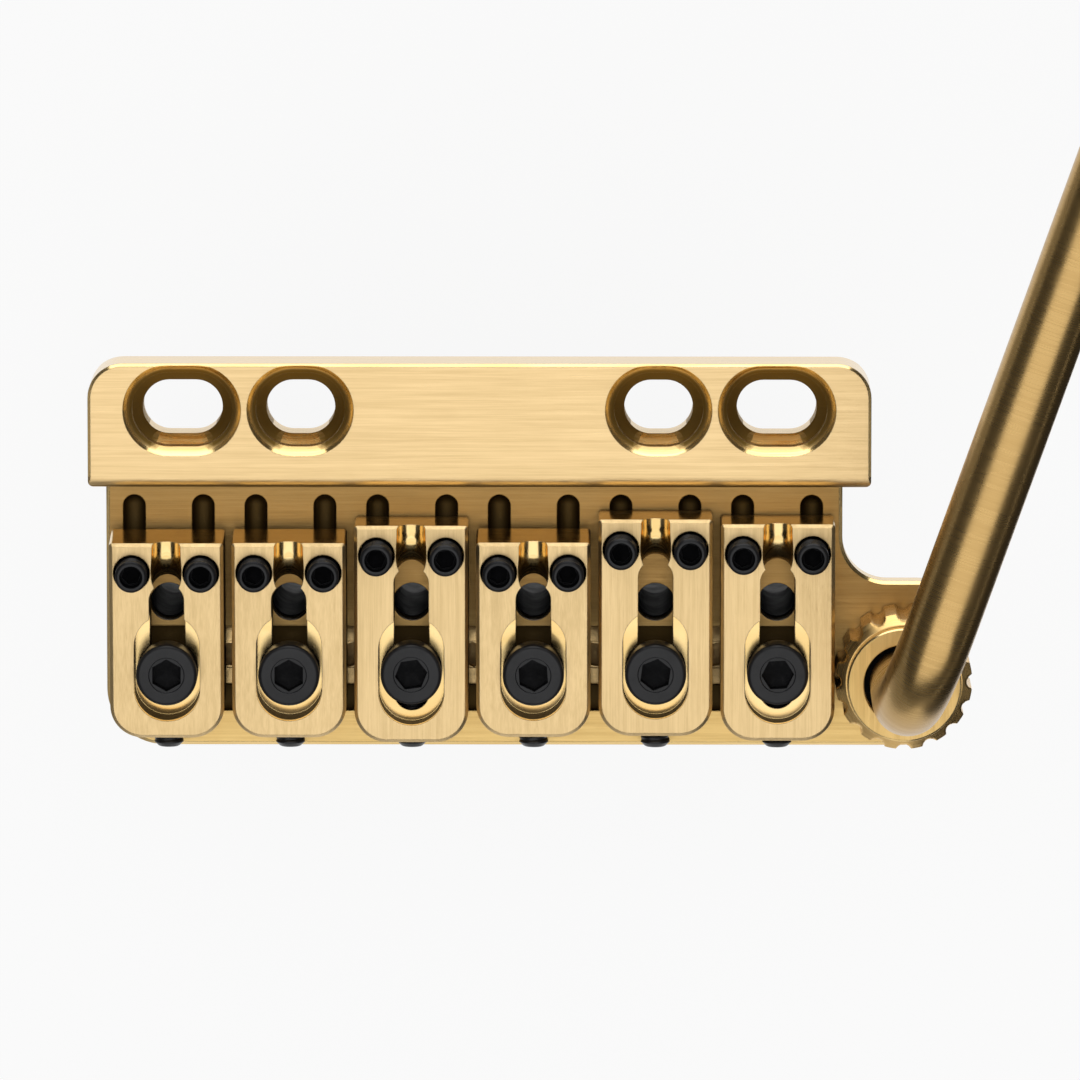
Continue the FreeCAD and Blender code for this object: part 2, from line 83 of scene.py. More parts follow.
Colour = tuple[float, float, float]
Point = tuple[float, float, float]
Material = bpy.types.Material
Socket = bpy.types.NodeSocket
Sockets = bpy.types.bpy_prop_collection
Tree = bpy.types.NodeTree


class Grain(Enum):
    """Direction in which a flat face was brushed, in degrees from X."""

    ACROSS_STRINGS = 0.0
    ALONG_STRINGS = 90.0


# Surfaces


@dataclass(frozen=True)
class Surface:
    """A closed surface as arrays: points, four-sided faces, and three-sided faces at its poles, with their UVs."""

    points: np.ndarray
    quads: np.ndarray
    fans: np.ndarray
    quad_uv: np.ndarray
    fan_uv: np.ndarray

    @classmethod
    def of_rings(cls, rings: np.ndarray, lengths: np.ndarray, poles: np.ndarray | None = None) -> Surface:
        """Closes a grid of rings into a surface.

        Point (i, j) of the grid is ring i at the turn j, so a face joins rings i and i + 1 between the turns j and
        j + 1, and the last turn meets the first one. Its outside is where turn cross progress points. A fan of
        triangles joins each end to its pole. With one more length than rings, the last ring meets the first one
        instead, as on a tyre.

        Args:
            rings: Points of the grid, as rings by turns by 3.
            lengths: Distance along the surface of each ring, for the UV map.
            poles: Point before the first ring and point after the last one, where there are poles.

        Returns:
            The closed surface.
        """
        count, turns, _ = rings.shape
        row, turn = np.meshgrid(np.arange(len(lengths) - 1), np.arange(turns), indexing="ij")
        beside, above = (turn + 1) % turns, (row + 1) % count
        quads = np.stack(
            [row * turns + turn, row * turns + beside, above * turns + beside, above * turns + turn], axis=-1
        )
        corners = ((turn, row), (turn + 1, row), (turn + 1, row + 1), (turn, row + 1))
        quad_uv = np.stack([np.stack([t / turns, lengths[r]], -1) for t, r in corners], axis=-2)
        points, fans, fan_uv = rings.reshape(-1, 3), np.empty((0, 3), int), np.empty((0, 3, 2))
        if poles is not None:
            first = np.arange(turns)
            following = (first + 1) % turns
            start, last = count * turns, (count - 1) * turns
            low = np.stack([np.full(turns, start), following, first], -1)
            high = np.stack([np.full(turns, start + 1), last + first, last + following], -1)
            points, fans = np.concatenate([points, poles]), np.concatenate([low, high])
            sides = np.array([[0.5, 1.0, 0.0], [0.5, 0.0, 1.0]])
            fan_u = (first[:, None] + sides[:, None, :]) / turns
            fan_v = np.broadcast_to(lengths[[0, -1]][:, None, None], fan_u.shape)
            fan_uv = np.stack([fan_u, fan_v], -1).reshape(-1, 3, 2)
        return cls(points, quads.reshape(-1, 4), fans, quad_uv.reshape(-1, 4, 2), fan_uv)

    @classmethod
    def joined(cls, parts: list[Surface]) -> Surface:
        """Puts several closed surfaces into one, each keeping its own points."""
        starts = np.cumsum([0] + [len(part.points) for part in parts[:-1]])
        return cls(
            np.concatenate([part.points for part in parts]),
            np.concatenate([part.quads + start for part, start in zip(parts, starts)]),
            np.concatenate([part.fans + start for part, start in zip(parts, starts)]),
            np.concatenate([part.quad_uv for part in parts]),
            np.concatenate([part.fan_uv for part in parts]),
        )

    def placed(self, axis: np.ndarray, foot: np.ndarray, turn: float = 0.0) -> Surface:
        """Stands the surface on foot with its own Z along axis, turned about that axis.

        Args:
            axis: Unit vector of the new Z, well away from X.
            foot: Where the surface's own origin goes.
            turn: Angle about the axis, in radians.

        Returns:
            A new surface in its place.
        """
        side = np.array([1.0, 0.0, 0.0]) - axis * axis[0]
        side /= np.linalg.norm(side)
        first = side * math.cos(turn) + np.cross(axis, side) * math.sin(turn)
        return replace(self, points=self.points @ np.stack([first, np.cross(axis, first), axis]) + foot)

    def piece(self, name: str, crease: float = 35.0) -> bpy.types.Object:
        """Makes the Blender object, smooth but for edges sharper than crease degrees.

        Args:
            name: Name of the object and its mesh.
            crease: Angle between faces from which their edge is sharp, in degrees.

        Returns:
            The object, linked to the scene.
        """
        mesh = bpy.data.meshes.new(name)
        mesh.from_pydata(self.points.tolist(), [], self.quads.tolist() + self.fans.tolist())
        layer = mesh.uv_layers.new(name="surface")
        layer.data.foreach_set("uv", np.concatenate([self.quad_uv.ravel(), self.fan_uv.ravel()]).astype(np.float32))
        mesh.polygons.foreach_set("use_smooth", np.ones(len(mesh.polygons), dtype=bool))
        mesh.set_sharp_from_angle(angle=math.radians(crease))
        mesh.validate()
        mesh.update()
        return shown(name, mesh)


def shown(name: str, data: bpy.types.ID) -> bpy.types.Object:
    """Makes an object and links it to the scene.

    Args:
        name: Name of the object.
        data: Its mesh, lamp or lens.

    Returns:
        The object, at the origin.
    """
    made = bpy.data.objects.new(name, data)
    bpy.context.scene.collection.objects.link(made)
    return made


def round_rings(radii: np.ndarray, heights: np.ndarray) -> np.ndarray:
    """Lays rings about Z: point (i, j) is at radius radii[i, j] and height heights[i], at the angle of turn j.

    Args:
        radii: Radius of each ring at each turn, in metres.
        heights: Height of each ring.

    Returns:
        The points, as rings by turns by 3.
    """
    angle = np.arange(radii.shape[1]) * FULL_TURN / radii.shape[1]
    level = np.broadcast_to(heights[:, None], radii.shape)
    return np.stack([radii * np.cos(angle), radii * np.sin(angle), level], axis=-1)


def turned(radii: np.ndarray, heights: np.ndarray) -> Surface:
    """Surface of revolution about Z, with its poles on the axis at the first and the last height.

    Args:
        radii: Radius of each ring at each turn, in metres.
        heights: Height of each ring.

    Returns:
        The closed surface.
    """
    steps = np.hypot(np.diff(radii.mean(axis=1)), np.diff(heights))
    lengths = np.concatenate([[0.0], np.cumsum(steps)])
    return Surface.of_rings(round_rings(radii, heights), lengths, np.outer(heights[[0, -1]], UP))


@dataclass(frozen=True)
class SpanOnAxis:
    """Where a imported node's points lie along an axis: the lowest point on its centre line, and its length."""

    foot: np.ndarray
    length: float

    @classmethod
    def of_node(cls, node: bpy.types.Object, axis: np.ndarray, low_x: float, high_x: float) -> SpanOnAxis:
        """Measures the part of a node between two planes across X.

        Args:
            node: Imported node.
            axis: Unit vector of its pieces' axis.
            low_x: Left plane.
            high_x: Right plane.

        Returns:
            The span along the axis, on the middle of the points' outline across it.
        """
        points = vertices_of(node)
        points = points[(points[:, 0] > low_x) & (points[:, 0] < high_x)]
        run = points @ axis
        aside = points - np.outer(run, axis)
        middle = (aside.min(axis=0) + aside.max(axis=0)) / 2.0
        middle -= axis * float(middle @ axis)
        return cls(middle + axis * run.min(), float(run.max() - run.min()))


def vertices_of(node: bpy.types.Object) -> np.ndarray:
    """Reads a node's vertices.

    Args:
        node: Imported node.

    Returns:
        Its points, in metres.
    """
    flat = np.empty(len(node.data.vertices) * 3, np.float32)
    node.data.vertices.foreach_get("co", flat)
    return flat.reshape(-1, 3).astype(float)


# Screws


@dataclass(frozen=True)
class ScrewForm:
    """A screw as one surface of revolution: point, thread, optional head and hexagonal socket, in metres.

    The radius at height z and angle a is the profile's radius, less the thread's depth times a triangle wave of
    z / pitch - a / full turn, and in the socket it is the hexagon's: half its width over the cosine of the angle
    from the nearest flat's middle.
    """

    radius: float
    pitch: float
    thread_depth: float
    socket: float
    socket_depth: float
    edge: float
    point_radius: float
    mouth: float
    mouth_depth: float
    length: float = 0.0
    point_length: float = 0.0
    point_cone: float = 0.2 * MM
    head_radius: float = 0.0
    head_height: float = 0.0
    head_cone: bool = False
    turns: int = 48
    rows_per_pitch: int = 6
    fewest_rows: int = 8
    rows_per_round: int = 7
    tip_start: float = 0.12
    floor_radii: tuple[float, float] = (0.6, 0.2)
    floor_drops: tuple[float, float] = (0.25, 0.4)

    def surface(self) -> Surface:
        """Builds the screw upright, its lowest point at the origin.

        Returns:
            The closed surface.
        """
        angle = np.arange(self.turns) * FULL_TURN / self.turns
        half = self.socket / 2.0
        hexagon = half / np.cos(np.mod(angle, SIXTH_TURN) - SIXTH_TURN / 2.0)
        shank_top = self.length - self.head_height - (0.0 if self.head_radius else self.edge)
        low = self.point_length + self.point_cone
        count = max(self.fewest_rows, int((shank_top - low) / self.pitch * self.rows_per_pitch))
        thread_z = np.linspace(low, shank_top, count)
        fade = np.clip(np.minimum(thread_z - low, shank_top - thread_z) / self.pitch, 0.0, 1.0)
        wave = np.abs(2.0 * np.mod(thread_z[:, None] / self.pitch - angle / FULL_TURN, 1.0) - 1.0)
        thread = self.radius - self.thread_depth * fade[:, None] * wave
        tip_r, tip_z = self.point_rows()
        head_r, head_z = self.head_rows(shank_top)
        rim_r = np.append(head_r, [self.mouth, (self.mouth + hexagon.max()) / 2.0])
        ledge, bottom = self.length - self.mouth_depth, self.length - self.socket_depth
        floor_r = np.array(self.floor_radii) * half
        floor_z = bottom - np.array(self.floor_drops) * half
        around = np.ones(self.turns)
        socket = np.stack([hexagon, hexagon])
        radii = [np.outer(tip_r, around), thread, np.outer(rim_r, around), socket, np.outer(floor_r, around)]
        heights = [tip_z, thread_z, head_z, [self.length, ledge, ledge, bottom], floor_z]
        return turned(np.concatenate(radii), np.concatenate(heights))

    def point_rows(self) -> tuple[np.ndarray, np.ndarray]:
        """Shapes the point: a ball-ended pin where there is one, or else a flat end.

        Returns:
            Radii and heights of the rings.
        """
        pin = self.point_radius
        if self.point_length > 0.0:
            turn = np.linspace(self.tip_start, QUARTER_TURN, self.rows_per_round)
            return np.append(pin * np.sin(turn), pin), np.append(pin * (1.0 - np.cos(turn)), self.point_length)
        soft = min(self.edge * 0.2, pin * 0.1)
        return np.array([pin - soft, pin]), np.array([0.0, soft * 0.5])

    def head_rows(self, start: float) -> tuple[np.ndarray, np.ndarray]:
        """Radii and heights from the thread's end to the top's rim, with or without a head.

        Args:
            start: Height at which the thread ends.

        Returns:
            Radii and heights of the rings.
        """
        edge, top, head = self.edge, self.length, self.head_radius
        if not head:
            soft, rim = edge * 0.15, self.radius - edge
            return np.array([self.radius, rim + soft, rim - soft]), np.array([start, top - soft, top])
        if self.head_cone:
            radii = np.array([self.radius, head - edge * 0.2, head, head - edge])
            return radii, np.array([start, top - edge * 0.6, top - edge * 0.4, top])
        turn = np.linspace(0.0, QUARTER_TURN, self.rows_per_round)
        below = edge * 0.3
        radii = np.concatenate([[self.radius, head - below, head], head - edge * (1.0 - np.cos(turn))])
        return radii, np.concatenate([[start, start, start + below], top - edge + edge * np.sin(turn)])


# Node groups and finishes


class NodePad:
    """Adds nodes to one node tree and links them."""

    def __init__(self, tree: Tree) -> None:
        """Keeps the tree that is worked on."""
        self.tree = tree

    def link(self, source: Socket, target: Socket) -> None:
        """Links one node's output to another one's input."""
        self.tree.links.new(source, target)

    def add(self, kind: str, values: dict | None = None, **settings: object) -> bpy.types.Node:
        """Adds a node, sets its options and fills or links its inputs.

        Args:
            kind: Blender's node type.
            values: Input names or numbers with a value, or with a socket to link from.
            **settings: Options of the node itself.

        Returns:
            The new node.
        """
        node = self.tree.nodes.new(kind)
        for option, value in settings.items():
            setattr(node, option, value)
        for key, value in (values or {}).items():
            if isinstance(value, Socket):
                self.link(value, node.inputs[key])
            else:
                node.inputs[key].default_value = value
        return node

    def group(self, tree: Tree, values: dict[str, object]) -> Sockets:
        """Adds a shared effect with its inputs filled and returns its outputs."""
        return self.add("ShaderNodeGroup", values, node_tree=tree).outputs

    def give(self, out: Sockets, **results: Socket) -> Tree:
        """Ends a group.

        Args:
            out: The group's outputs.
            **results: Each output's name with the socket that feeds it.

        Returns:
            The group.
        """
        for label, socket in results.items():
            self.link(socket, out[label])
        return self.tree

    def math(self, operation: str, first: object, second: object = 0.0, clamp: bool = False) -> Socket:
        """Adds a Math node and returns its result."""
        return self.add("ShaderNodeMath", {0: first, 1: second}, operation=operation, use_clamp=clamp).outputs[0]

    def total(self, base: object, *terms: tuple[Socket, float]) -> Socket:
        """Adds sockets, each times its weight, to a base.

        Args:
            base: Value or socket to start from.
            *terms: Each socket with its weight.

        Returns:
            The sum, held between 0 and 1.
        """
        for place, (socket, weight) in enumerate(terms, start=1):
            node = self.add("ShaderNodeMath", {0: socket, 1: weight, 2: base}, operation="MULTIPLY_ADD")
            node.use_clamp = place == len(terms)
            base = node.outputs[0]
        return base

    def vector(self, operation: str, first: object, second: object) -> Sockets:
        """Adds a Vector Math node and returns its outputs."""
        return self.add("ShaderNodeVectorMath", {0: first, 1: second}, operation=operation).outputs

    def part(self, vector: Socket, axis: str) -> Socket:
        """Returns a vector's X, Y or Z."""
        return self.add("ShaderNodeSeparateXYZ", {0: vector}).outputs[axis]

    def stretched(self, place: Socket, x: object, y: object, z: object) -> Socket:
        """Returns a place with each part times its own factor."""
        factors = self.add("ShaderNodeCombineXYZ", {"X": x, "Y": y, "Z": z}).outputs[0]
        return self.vector("MULTIPLY", place, factors)[0]

    def noise(self, place: Socket, scale: object, detail: float = 2.0, roughness: float = 0.5) -> Sockets:
        """Adds a Noise Texture node and returns its outputs."""
        values = {"Vector": place, "Scale": scale, "Detail": detail, "Roughness": roughness}
        return self.add("ShaderNodeTexNoise", values).outputs

    def ramp(self, value: Socket, low: object, high: object, to_low: float = 0.0, to_high: float = 1.0) -> Socket:
        """Maps value smoothly from low..high to to_low..to_high and returns it."""
        values = {"Value": value, "From Min": low, "From Max": high, "To Min": to_low, "To Max": to_high}
        return self.add("ShaderNodeMapRange", values, interpolation_type="SMOOTHSTEP").outputs[0]

    def mix(self, share: object, first: object, second: object) -> Socket:
        """Mixes two values by share and returns the value."""
        return self.add("ShaderNodeMix", {0: share, 2: first, 3: second}, data_type="FLOAT").outputs[0]

    def blend(self, share: object, first: object, second: object) -> Socket:
        """Mixes two colours by share and returns the colour."""
        first, second = (c if isinstance(c, Socket) else (*c, 1.0) for c in (first, second))
        return self.add("ShaderNodeMix", {0: share, 6: first, 7: second}, data_type="RGBA").outputs[2]

    def two_tone(self, tone: Socket, colour: Colour, shade: Colour) -> Socket:
        """Mixes a colour times its shade with the colour itself by tone and returns it."""
        return self.blend(tone, tuple(c * s for c, s in zip(colour, shade)), colour)

    def bump(self, height: object, strength: float, distance: float, **more: object) -> Socket:
        """Adds a Bump node and returns its normal."""
        values = {"Height": height, "Strength": strength, "Distance": distance, **more}
        return self.add("ShaderNodeBump", values).outputs[0]


class EffectGroups:
    """Shader node groups that several finishes share, each built once."""

    def __init__(self) -> None:
        """Builds the groups in order."""
        self.grain = self.brushed_grain()
        self.walls = self.cutter_marks()
        self.rings = self.lathe_rings()
        self.land = self.land_mask()
        self.haze = self.handling_haze()
        self.edges = self.worn_edges()
        self.recess = self.recess_depth()

    @staticmethod
    def started(name: str, inputs: dict[str, str], outputs: dict[str, str]) -> tuple[NodePad, Sockets, Sockets]:
        """Starts a group with its named sockets.

        Args:
            name: Name of the group.
            inputs: Name and socket type of each input.
            outputs: Name and socket type of each output.

        Returns:
            A pad on the group, the values given to it and the results that it gives out.
        """
        tree = bpy.data.node_groups.new(name, "ShaderNodeTree")
        for in_out, sockets in (("INPUT", inputs), ("OUTPUT", outputs)):
            for label, kind in sockets.items():
                tree.interface.new_socket(name=label, in_out=in_out, socket_type=kind)
        pad = NodePad(tree)
        return pad, pad.add("NodeGroupInput").outputs, pad.add("NodeGroupOutput").inputs

    def brushed_grain(self) -> Tree:
        """Fine lines along the group's own X: noise drawn out along it, with grooves finer than the tone's lines.

        Returns:
            The group.
        """
        pad, given, out = self.started(
            "brushed_grain", {"Vector": PLACE, "Along": VALUE, "Across": VALUE}, {"Tone": VALUE, "Height": VALUE}
        )
        drawn = pad.stretched(given["Vector"], given["Along"], given["Across"], given["Across"])
        fine = pad.noise(drawn, 1.0, detail=3.0, roughness=0.6)
        broad = pad.noise(drawn, 0.22)
        groove = pad.noise(drawn, 4.0, detail=1.0)
        tone = pad.total(0.0, (fine[0], 0.6), (broad[0], 0.4))
        return pad.give(out, Tone=pad.ramp(tone, 0.32, 0.68), Height=groove[0])

    def cutter_marks(self) -> Tree:
        """Level lines that a milling cutter leaves on walls: noise that changes quickly only with height.

        Returns:
            The group.
        """
        pad, given, out = self.started(
            "cutter_marks", {"Vector": PLACE, "Pitch": VALUE}, {"Tone": VALUE, "Height": VALUE}
        )
        quick = pad.math("DIVIDE", 1.0, given["Pitch"])
        slow = pad.math("MULTIPLY", quick, 0.02)
        lines = pad.noise(pad.stretched(given["Vector"], slow, slow, quick), 1.0)
        return pad.give(out, Tone=pad.ramp(lines[0], 0.35, 0.65), Height=lines[0])

    def lathe_rings(self) -> Tree:
        """Rings about the group's own Z, as a lathe tool leaves them: noise of distance from the axis and of height.

        Returns:
            The group.
        """
        pad, given, out = self.started(
            "lathe_rings", {"Vector": PLACE, "Pitch": VALUE}, {"Tone": VALUE, "Height": VALUE}
        )
        flat = pad.vector("MULTIPLY", given["Vector"], (1.0, 1.0, 0.0))[0]
        reach = pad.vector("LENGTH", flat, (0.0, 0.0, 0.0))["Value"]
        both = pad.math("ADD", reach, pad.math("MULTIPLY", pad.part(given["Vector"], "Z"), 0.7))
        along = pad.math("DIVIDE", both, given["Pitch"])
        lines = pad.add("ShaderNodeTexNoise", {"W": along, "Scale": 1.0, "Detail": 2.0}, noise_dimensions="1D").outputs
        return pad.give(out, Tone=pad.ramp(lines[0], 0.35, 0.65), Height=lines[0])

    def land_mask(self) -> Tree:
        """Marks the outer face in a plane and all behind a line, the depth under it, level, sloped and front faces.

        Returns:
            The group.
        """
        pad, given, out = self.started(
            "land_mask",
            {"Vector": PLACE, "Facing": PLACE, "Offset": VALUE, "Steep": VALUE, "Behind": VALUE},
            dict.fromkeys(("Mask", "Depth", "Level", "Slope", "Front"), VALUE),
        )
        true_normal = pad.add("ShaderNodeNewGeometry").outputs["True Normal"]
        facing = pad.vector("DOT_PRODUCT", true_normal, given["Facing"])["Value"]
        height = pad.vector("DOT_PRODUCT", given["Vector"], given["Facing"])["Value"]
        above = pad.math("SUBTRACT", height, given["Offset"])
        outer = pad.math("GREATER_THAN", facing, given["Steep"])
        land = pad.math("MULTIPLY", outer, pad.ramp(above, -0.5 * MM, -0.3 * MM))
        rear = pad.math("LESS_THAN", pad.part(given["Vector"], "Y"), given["Behind"])
        level = pad.ramp(facing, 0.75, 0.9)
        return pad.give(
            out,
            Mask=pad.math("MAXIMUM", land, rear),
            Depth=pad.math("MULTIPLY", above, -1.0),
            Level=level,
            Slope=pad.math("SUBTRACT", pad.ramp(facing, 0.3, 0.5), level),
            Front=pad.ramp(pad.part(true_normal, "Y"), 0.62, 0.69),
        )

    def handling_haze(self) -> Tree:
        """Cloudy patches of slight dulling and sparse fine scratches, from handling.

        Returns:
            The group.
        """
        pad, given, out = self.started(
            "handling_haze", {"Vector": PLACE, "Size": VALUE}, {"Haze": VALUE, "Scratch": VALUE}
        )
        scale = pad.math("DIVIDE", 1.0, given["Size"])
        cloud = pad.noise(given["Vector"], scale, detail=4.0, roughness=0.65)
        bent = pad.noise(given["Vector"], pad.math("MULTIPLY", scale, 0.5))
        moved = pad.vector("ADD", given["Vector"], pad.vector("MULTIPLY", bent["Color"], (4.0 * MM,) * 3)[0])
        cells = {"Vector": moved[0], "Scale": pad.math("MULTIPLY", scale, 2.0)}
        lines = pad.add("ShaderNodeTexVoronoi", cells, feature="DISTANCE_TO_EDGE").outputs
        thin = pad.ramp(lines["Distance"], 0.0, 0.012, 1.0, 0.0)
        patchy = pad.math("MULTIPLY", thin, pad.ramp(cloud[0], 0.5, 0.7))
        return pad.give(out, Haze=pad.ramp(cloud[0], 0.35, 0.7), Scratch=patchy)

    def worn_edges(self) -> Tree:
        """Rounds the look of edges and marks as rubbed where the softened normal leaves the face's own.

        Returns:
            The group.
        """
        pad, given, out = self.started("worn_edges", {"Radius": VALUE}, {"Normal": PLACE, "Edge": VALUE})
        soft = pad.add("ShaderNodeBevel", {"Radius": given["Radius"]}, samples=6).outputs[0]
        own = pad.add("ShaderNodeNewGeometry").outputs["Normal"]
        agree = pad.vector("DOT_PRODUCT", soft, own)["Value"]
        return pad.give(out, Normal=soft, Edge=pad.ramp(agree, 0.99, 0.85))

    def recess_depth(self) -> Tree:
        """One deep in holes and gaps and nothing on open faces: how far the nearby metal shuts out the sky.

        Returns:
            The group.
        """
        pad, given, out = self.started(
            "recess_depth", {"Reach": VALUE, "Open": VALUE, "Shut": VALUE}, {"Deep": VALUE}
        )
        open_sky = pad.add("ShaderNodeAmbientOcclusion", {"Distance": given["Reach"]}, samples=12).outputs["AO"]
        return pad.give(out, Deep=pad.ramp(open_sky, given["Open"], given["Shut"]))


def new_material(name: str) -> tuple[Material, NodePad, Sockets]:
    """Starts a node material with its Principled shader.

    Args:
        name: Name of the material.

    Returns:
        The material, a pad on its nodes, and the shader's inputs.
    """
    made = bpy.data.materials.new(name)
    made.use_nodes = True
    made.node_tree.nodes.clear()
    pad = NodePad(made.node_tree)
    shader = pad.add("ShaderNodeBsdfPrincipled")
    pad.add("ShaderNodeOutputMaterial", {"Surface": shader.outputs[0]})
    return made, pad, shader.inputs


@dataclass(frozen=True)
class SatinGold:
    """Brushed gold plate on outer faces, bright machined walls, painted shade in recesses and on slopes, and rubbed
    edges.
    """

    name: str
    land: Colour = (0.76, 0.555, 0.285)
    land_shade: Colour = (0.87, 0.855, 0.81)
    # Where set, a painted lit colour for the rear of the face, and the lines between which the land goes over to it.
    painted_lit_rear: Colour | None = None
    painted_light_line: float = 0.0
    painted_shade_line: float = 0.0
    wall: Colour = (0.92, 0.67, 0.31)
    wall_shade: Colour = (0.84, 0.80, 0.70)
    # Colour of the painted shade laid over recesses and slopes under the outer face.
    painted_shade: Colour = (0.20, 0.105, 0.025)
    rub_gain: float = 1.08
    rub_lift: float = 0.03
    rub_share: float = 0.5
    land_roughness: float = 0.32
    grain_roughness: float = -0.10
    haze_roughness: float = 0.05
    wall_roughness: float = 0.17
    mark_roughness: float = 0.08
    edge_roughness: float = -0.08
    scratch_roughness: float = -0.06
    recess_reach: float = 2.5 * MM
    recess_open: float = 0.62
    recess_shut: float = 0.25
    recess_dulling: float = 0.45
    # Painted shade: its share, and the depth under the outer face where it starts and how far it fades in.
    painted_shade_share: float = 0.0
    painted_shade_below: float = 0.1 * MM
    painted_shade_fade: float = 0.4 * MM
    # How far level and front faces are spared the painted shade, and how much sloped faces take.
    level_spared: float = 0.0
    front_spared: float = 0.0
    slope_painted_shade: float = 0.0
    steep: float = 0.93
    brushed_behind: float = -1.0
    grain: Grain = Grain.ACROSS_STRINGS
    grain_along: float = 160.0
    grain_across: float = 11000.0
    groove_depth: float = 0.009 * MM
    mark_pitch: float = 0.16 * MM
    mark_share: float = 0.15
    haze_size: float = 7.0 * MM
    facing: Point = (0.0, 0.0, 1.0)
    offset: float = 0.0
    edge_radius: float = 0.12 * MM

    def material(self, groups: EffectGroups) -> Material:
        """Builds the node material.

        Args:
            groups: The shared effects.

        Returns:
            The material.
        """
        made, pad, skin = new_material(self.name)
        skin["Metallic"].default_value = 1.0
        place = pad.add("ShaderNodeTexCoord").outputs["Object"]
        heading = (0.0, 0.0, math.radians(self.grain.value))
        lines = pad.add("ShaderNodeMapping", {"Vector": place, "Rotation": heading}).outputs[0]
        grain = pad.group(groups.grain, {"Vector": lines, "Along": self.grain_along, "Across": self.grain_across})
        marks = pad.group(groups.walls, {"Vector": place, "Pitch": self.mark_pitch})
        limits = {"Offset": self.offset, "Steep": self.steep, "Behind": self.brushed_behind}
        land = pad.group(groups.land, {"Vector": place, "Facing": self.facing, **limits})
        haze = pad.group(groups.haze, {"Vector": place, "Size": self.haze_size})
        edge = pad.group(groups.edges, {"Radius": self.edge_radius})
        sky = {"Reach": self.recess_reach, "Open": self.recess_open, "Shut": self.recess_shut}
        recess = pad.group(groups.recess, sky)
        mask, deep = land["Mask"], recess["Deep"]
        shaded = self.shaded(pad, land, deep)
        cut = pad.two_tone(marks["Tone"], self.wall, self.wall_shade)
        colour = pad.blend(mask, cut, self.brushed(pad, place, grain["Tone"]))
        # Painted shade: recesses and slopes under the outer face are blended towards a dark colour.
        colour = pad.blend(shaded, colour, self.painted_shade)
        pale = tuple(min(1.0, c * self.rub_gain + self.rub_lift) for c in self.land)
        rubbed = pad.math("MULTIPLY", edge["Edge"], pad.math("SUBTRACT", self.rub_share, deep, clamp=True))
        pad.link(pad.blend(rubbed, colour, pale), skin["Base Color"])
        satin = self.land_roughness - self.grain_roughness / 2.0
        satin = pad.total(satin, (grain["Tone"], self.grain_roughness), (haze["Haze"], self.haze_roughness))
        bright = self.wall_roughness - self.mark_roughness / 2.0
        bright = pad.total(bright, (marks["Tone"], self.mark_roughness))
        worn = ((edge["Edge"], self.edge_roughness), (haze["Scratch"], self.scratch_roughness))
        rough = pad.total(pad.mix(mask, bright, satin), (shaded, self.recess_dulling), *worn)
        pad.link(rough, skin["Roughness"])
        height = pad.mix(mask, pad.math("MULTIPLY", marks["Height"], self.mark_share), grain["Height"])
        pad.link(pad.bump(height, 1.0, self.groove_depth, Normal=edge["Normal"]), skin["Normal"])
        return made

    def brushed(self, pad: NodePad, place: Socket, tone: Socket) -> Socket:
        """Colour of the brushed face, which goes over to a painted lit colour towards the rear where there is one.

        Args:
            pad: Pad on the material.
            place: Object coordinates.
            tone: Light and dark of the brushing.

        Returns:
            The colour.
        """
        colour = pad.two_tone(tone, self.land, self.land_shade)
        if self.painted_lit_rear is None:
            return colour
        # Painted light and shade: the lit colour behind the light line, the land's darker colour from the shade line
        # on.
        rear = pad.two_tone(tone, self.painted_lit_rear, self.land_shade)
        return pad.blend(pad.ramp(pad.part(place, "Y"), self.painted_light_line, self.painted_shade_line), rear, colour)

    def shaded(self, pad: NodePad, land: Sockets, deep: Socket) -> Socket:
        """Share of painted shade: under the outer face, in recesses and on slopes, less on level and front faces if
        spared.

        Args:
            pad: Pad on the material.
            land: Outputs of the land mask.
            deep: How far the spot lies in a recess.

        Returns:
            The share.
        """
        fully = self.painted_shade_below + self.painted_shade_fade
        below = pad.ramp(land["Depth"], self.painted_shade_below, fully, 0.0, self.painted_shade_share)
        level = pad.math("MULTIPLY", land["Level"], self.level_spared)
        spared = pad.math("MAXIMUM", level, pad.math("MULTIPLY", land["Front"], self.front_spared))
        below = pad.math("MULTIPLY", below, pad.math("SUBTRACT", 1.0, spared))
        sloped = pad.math("MULTIPLY", land["Slope"], self.slope_painted_shade)
        return pad.math("MULTIPLY", pad.math("MAXIMUM", deep, sloped), below)


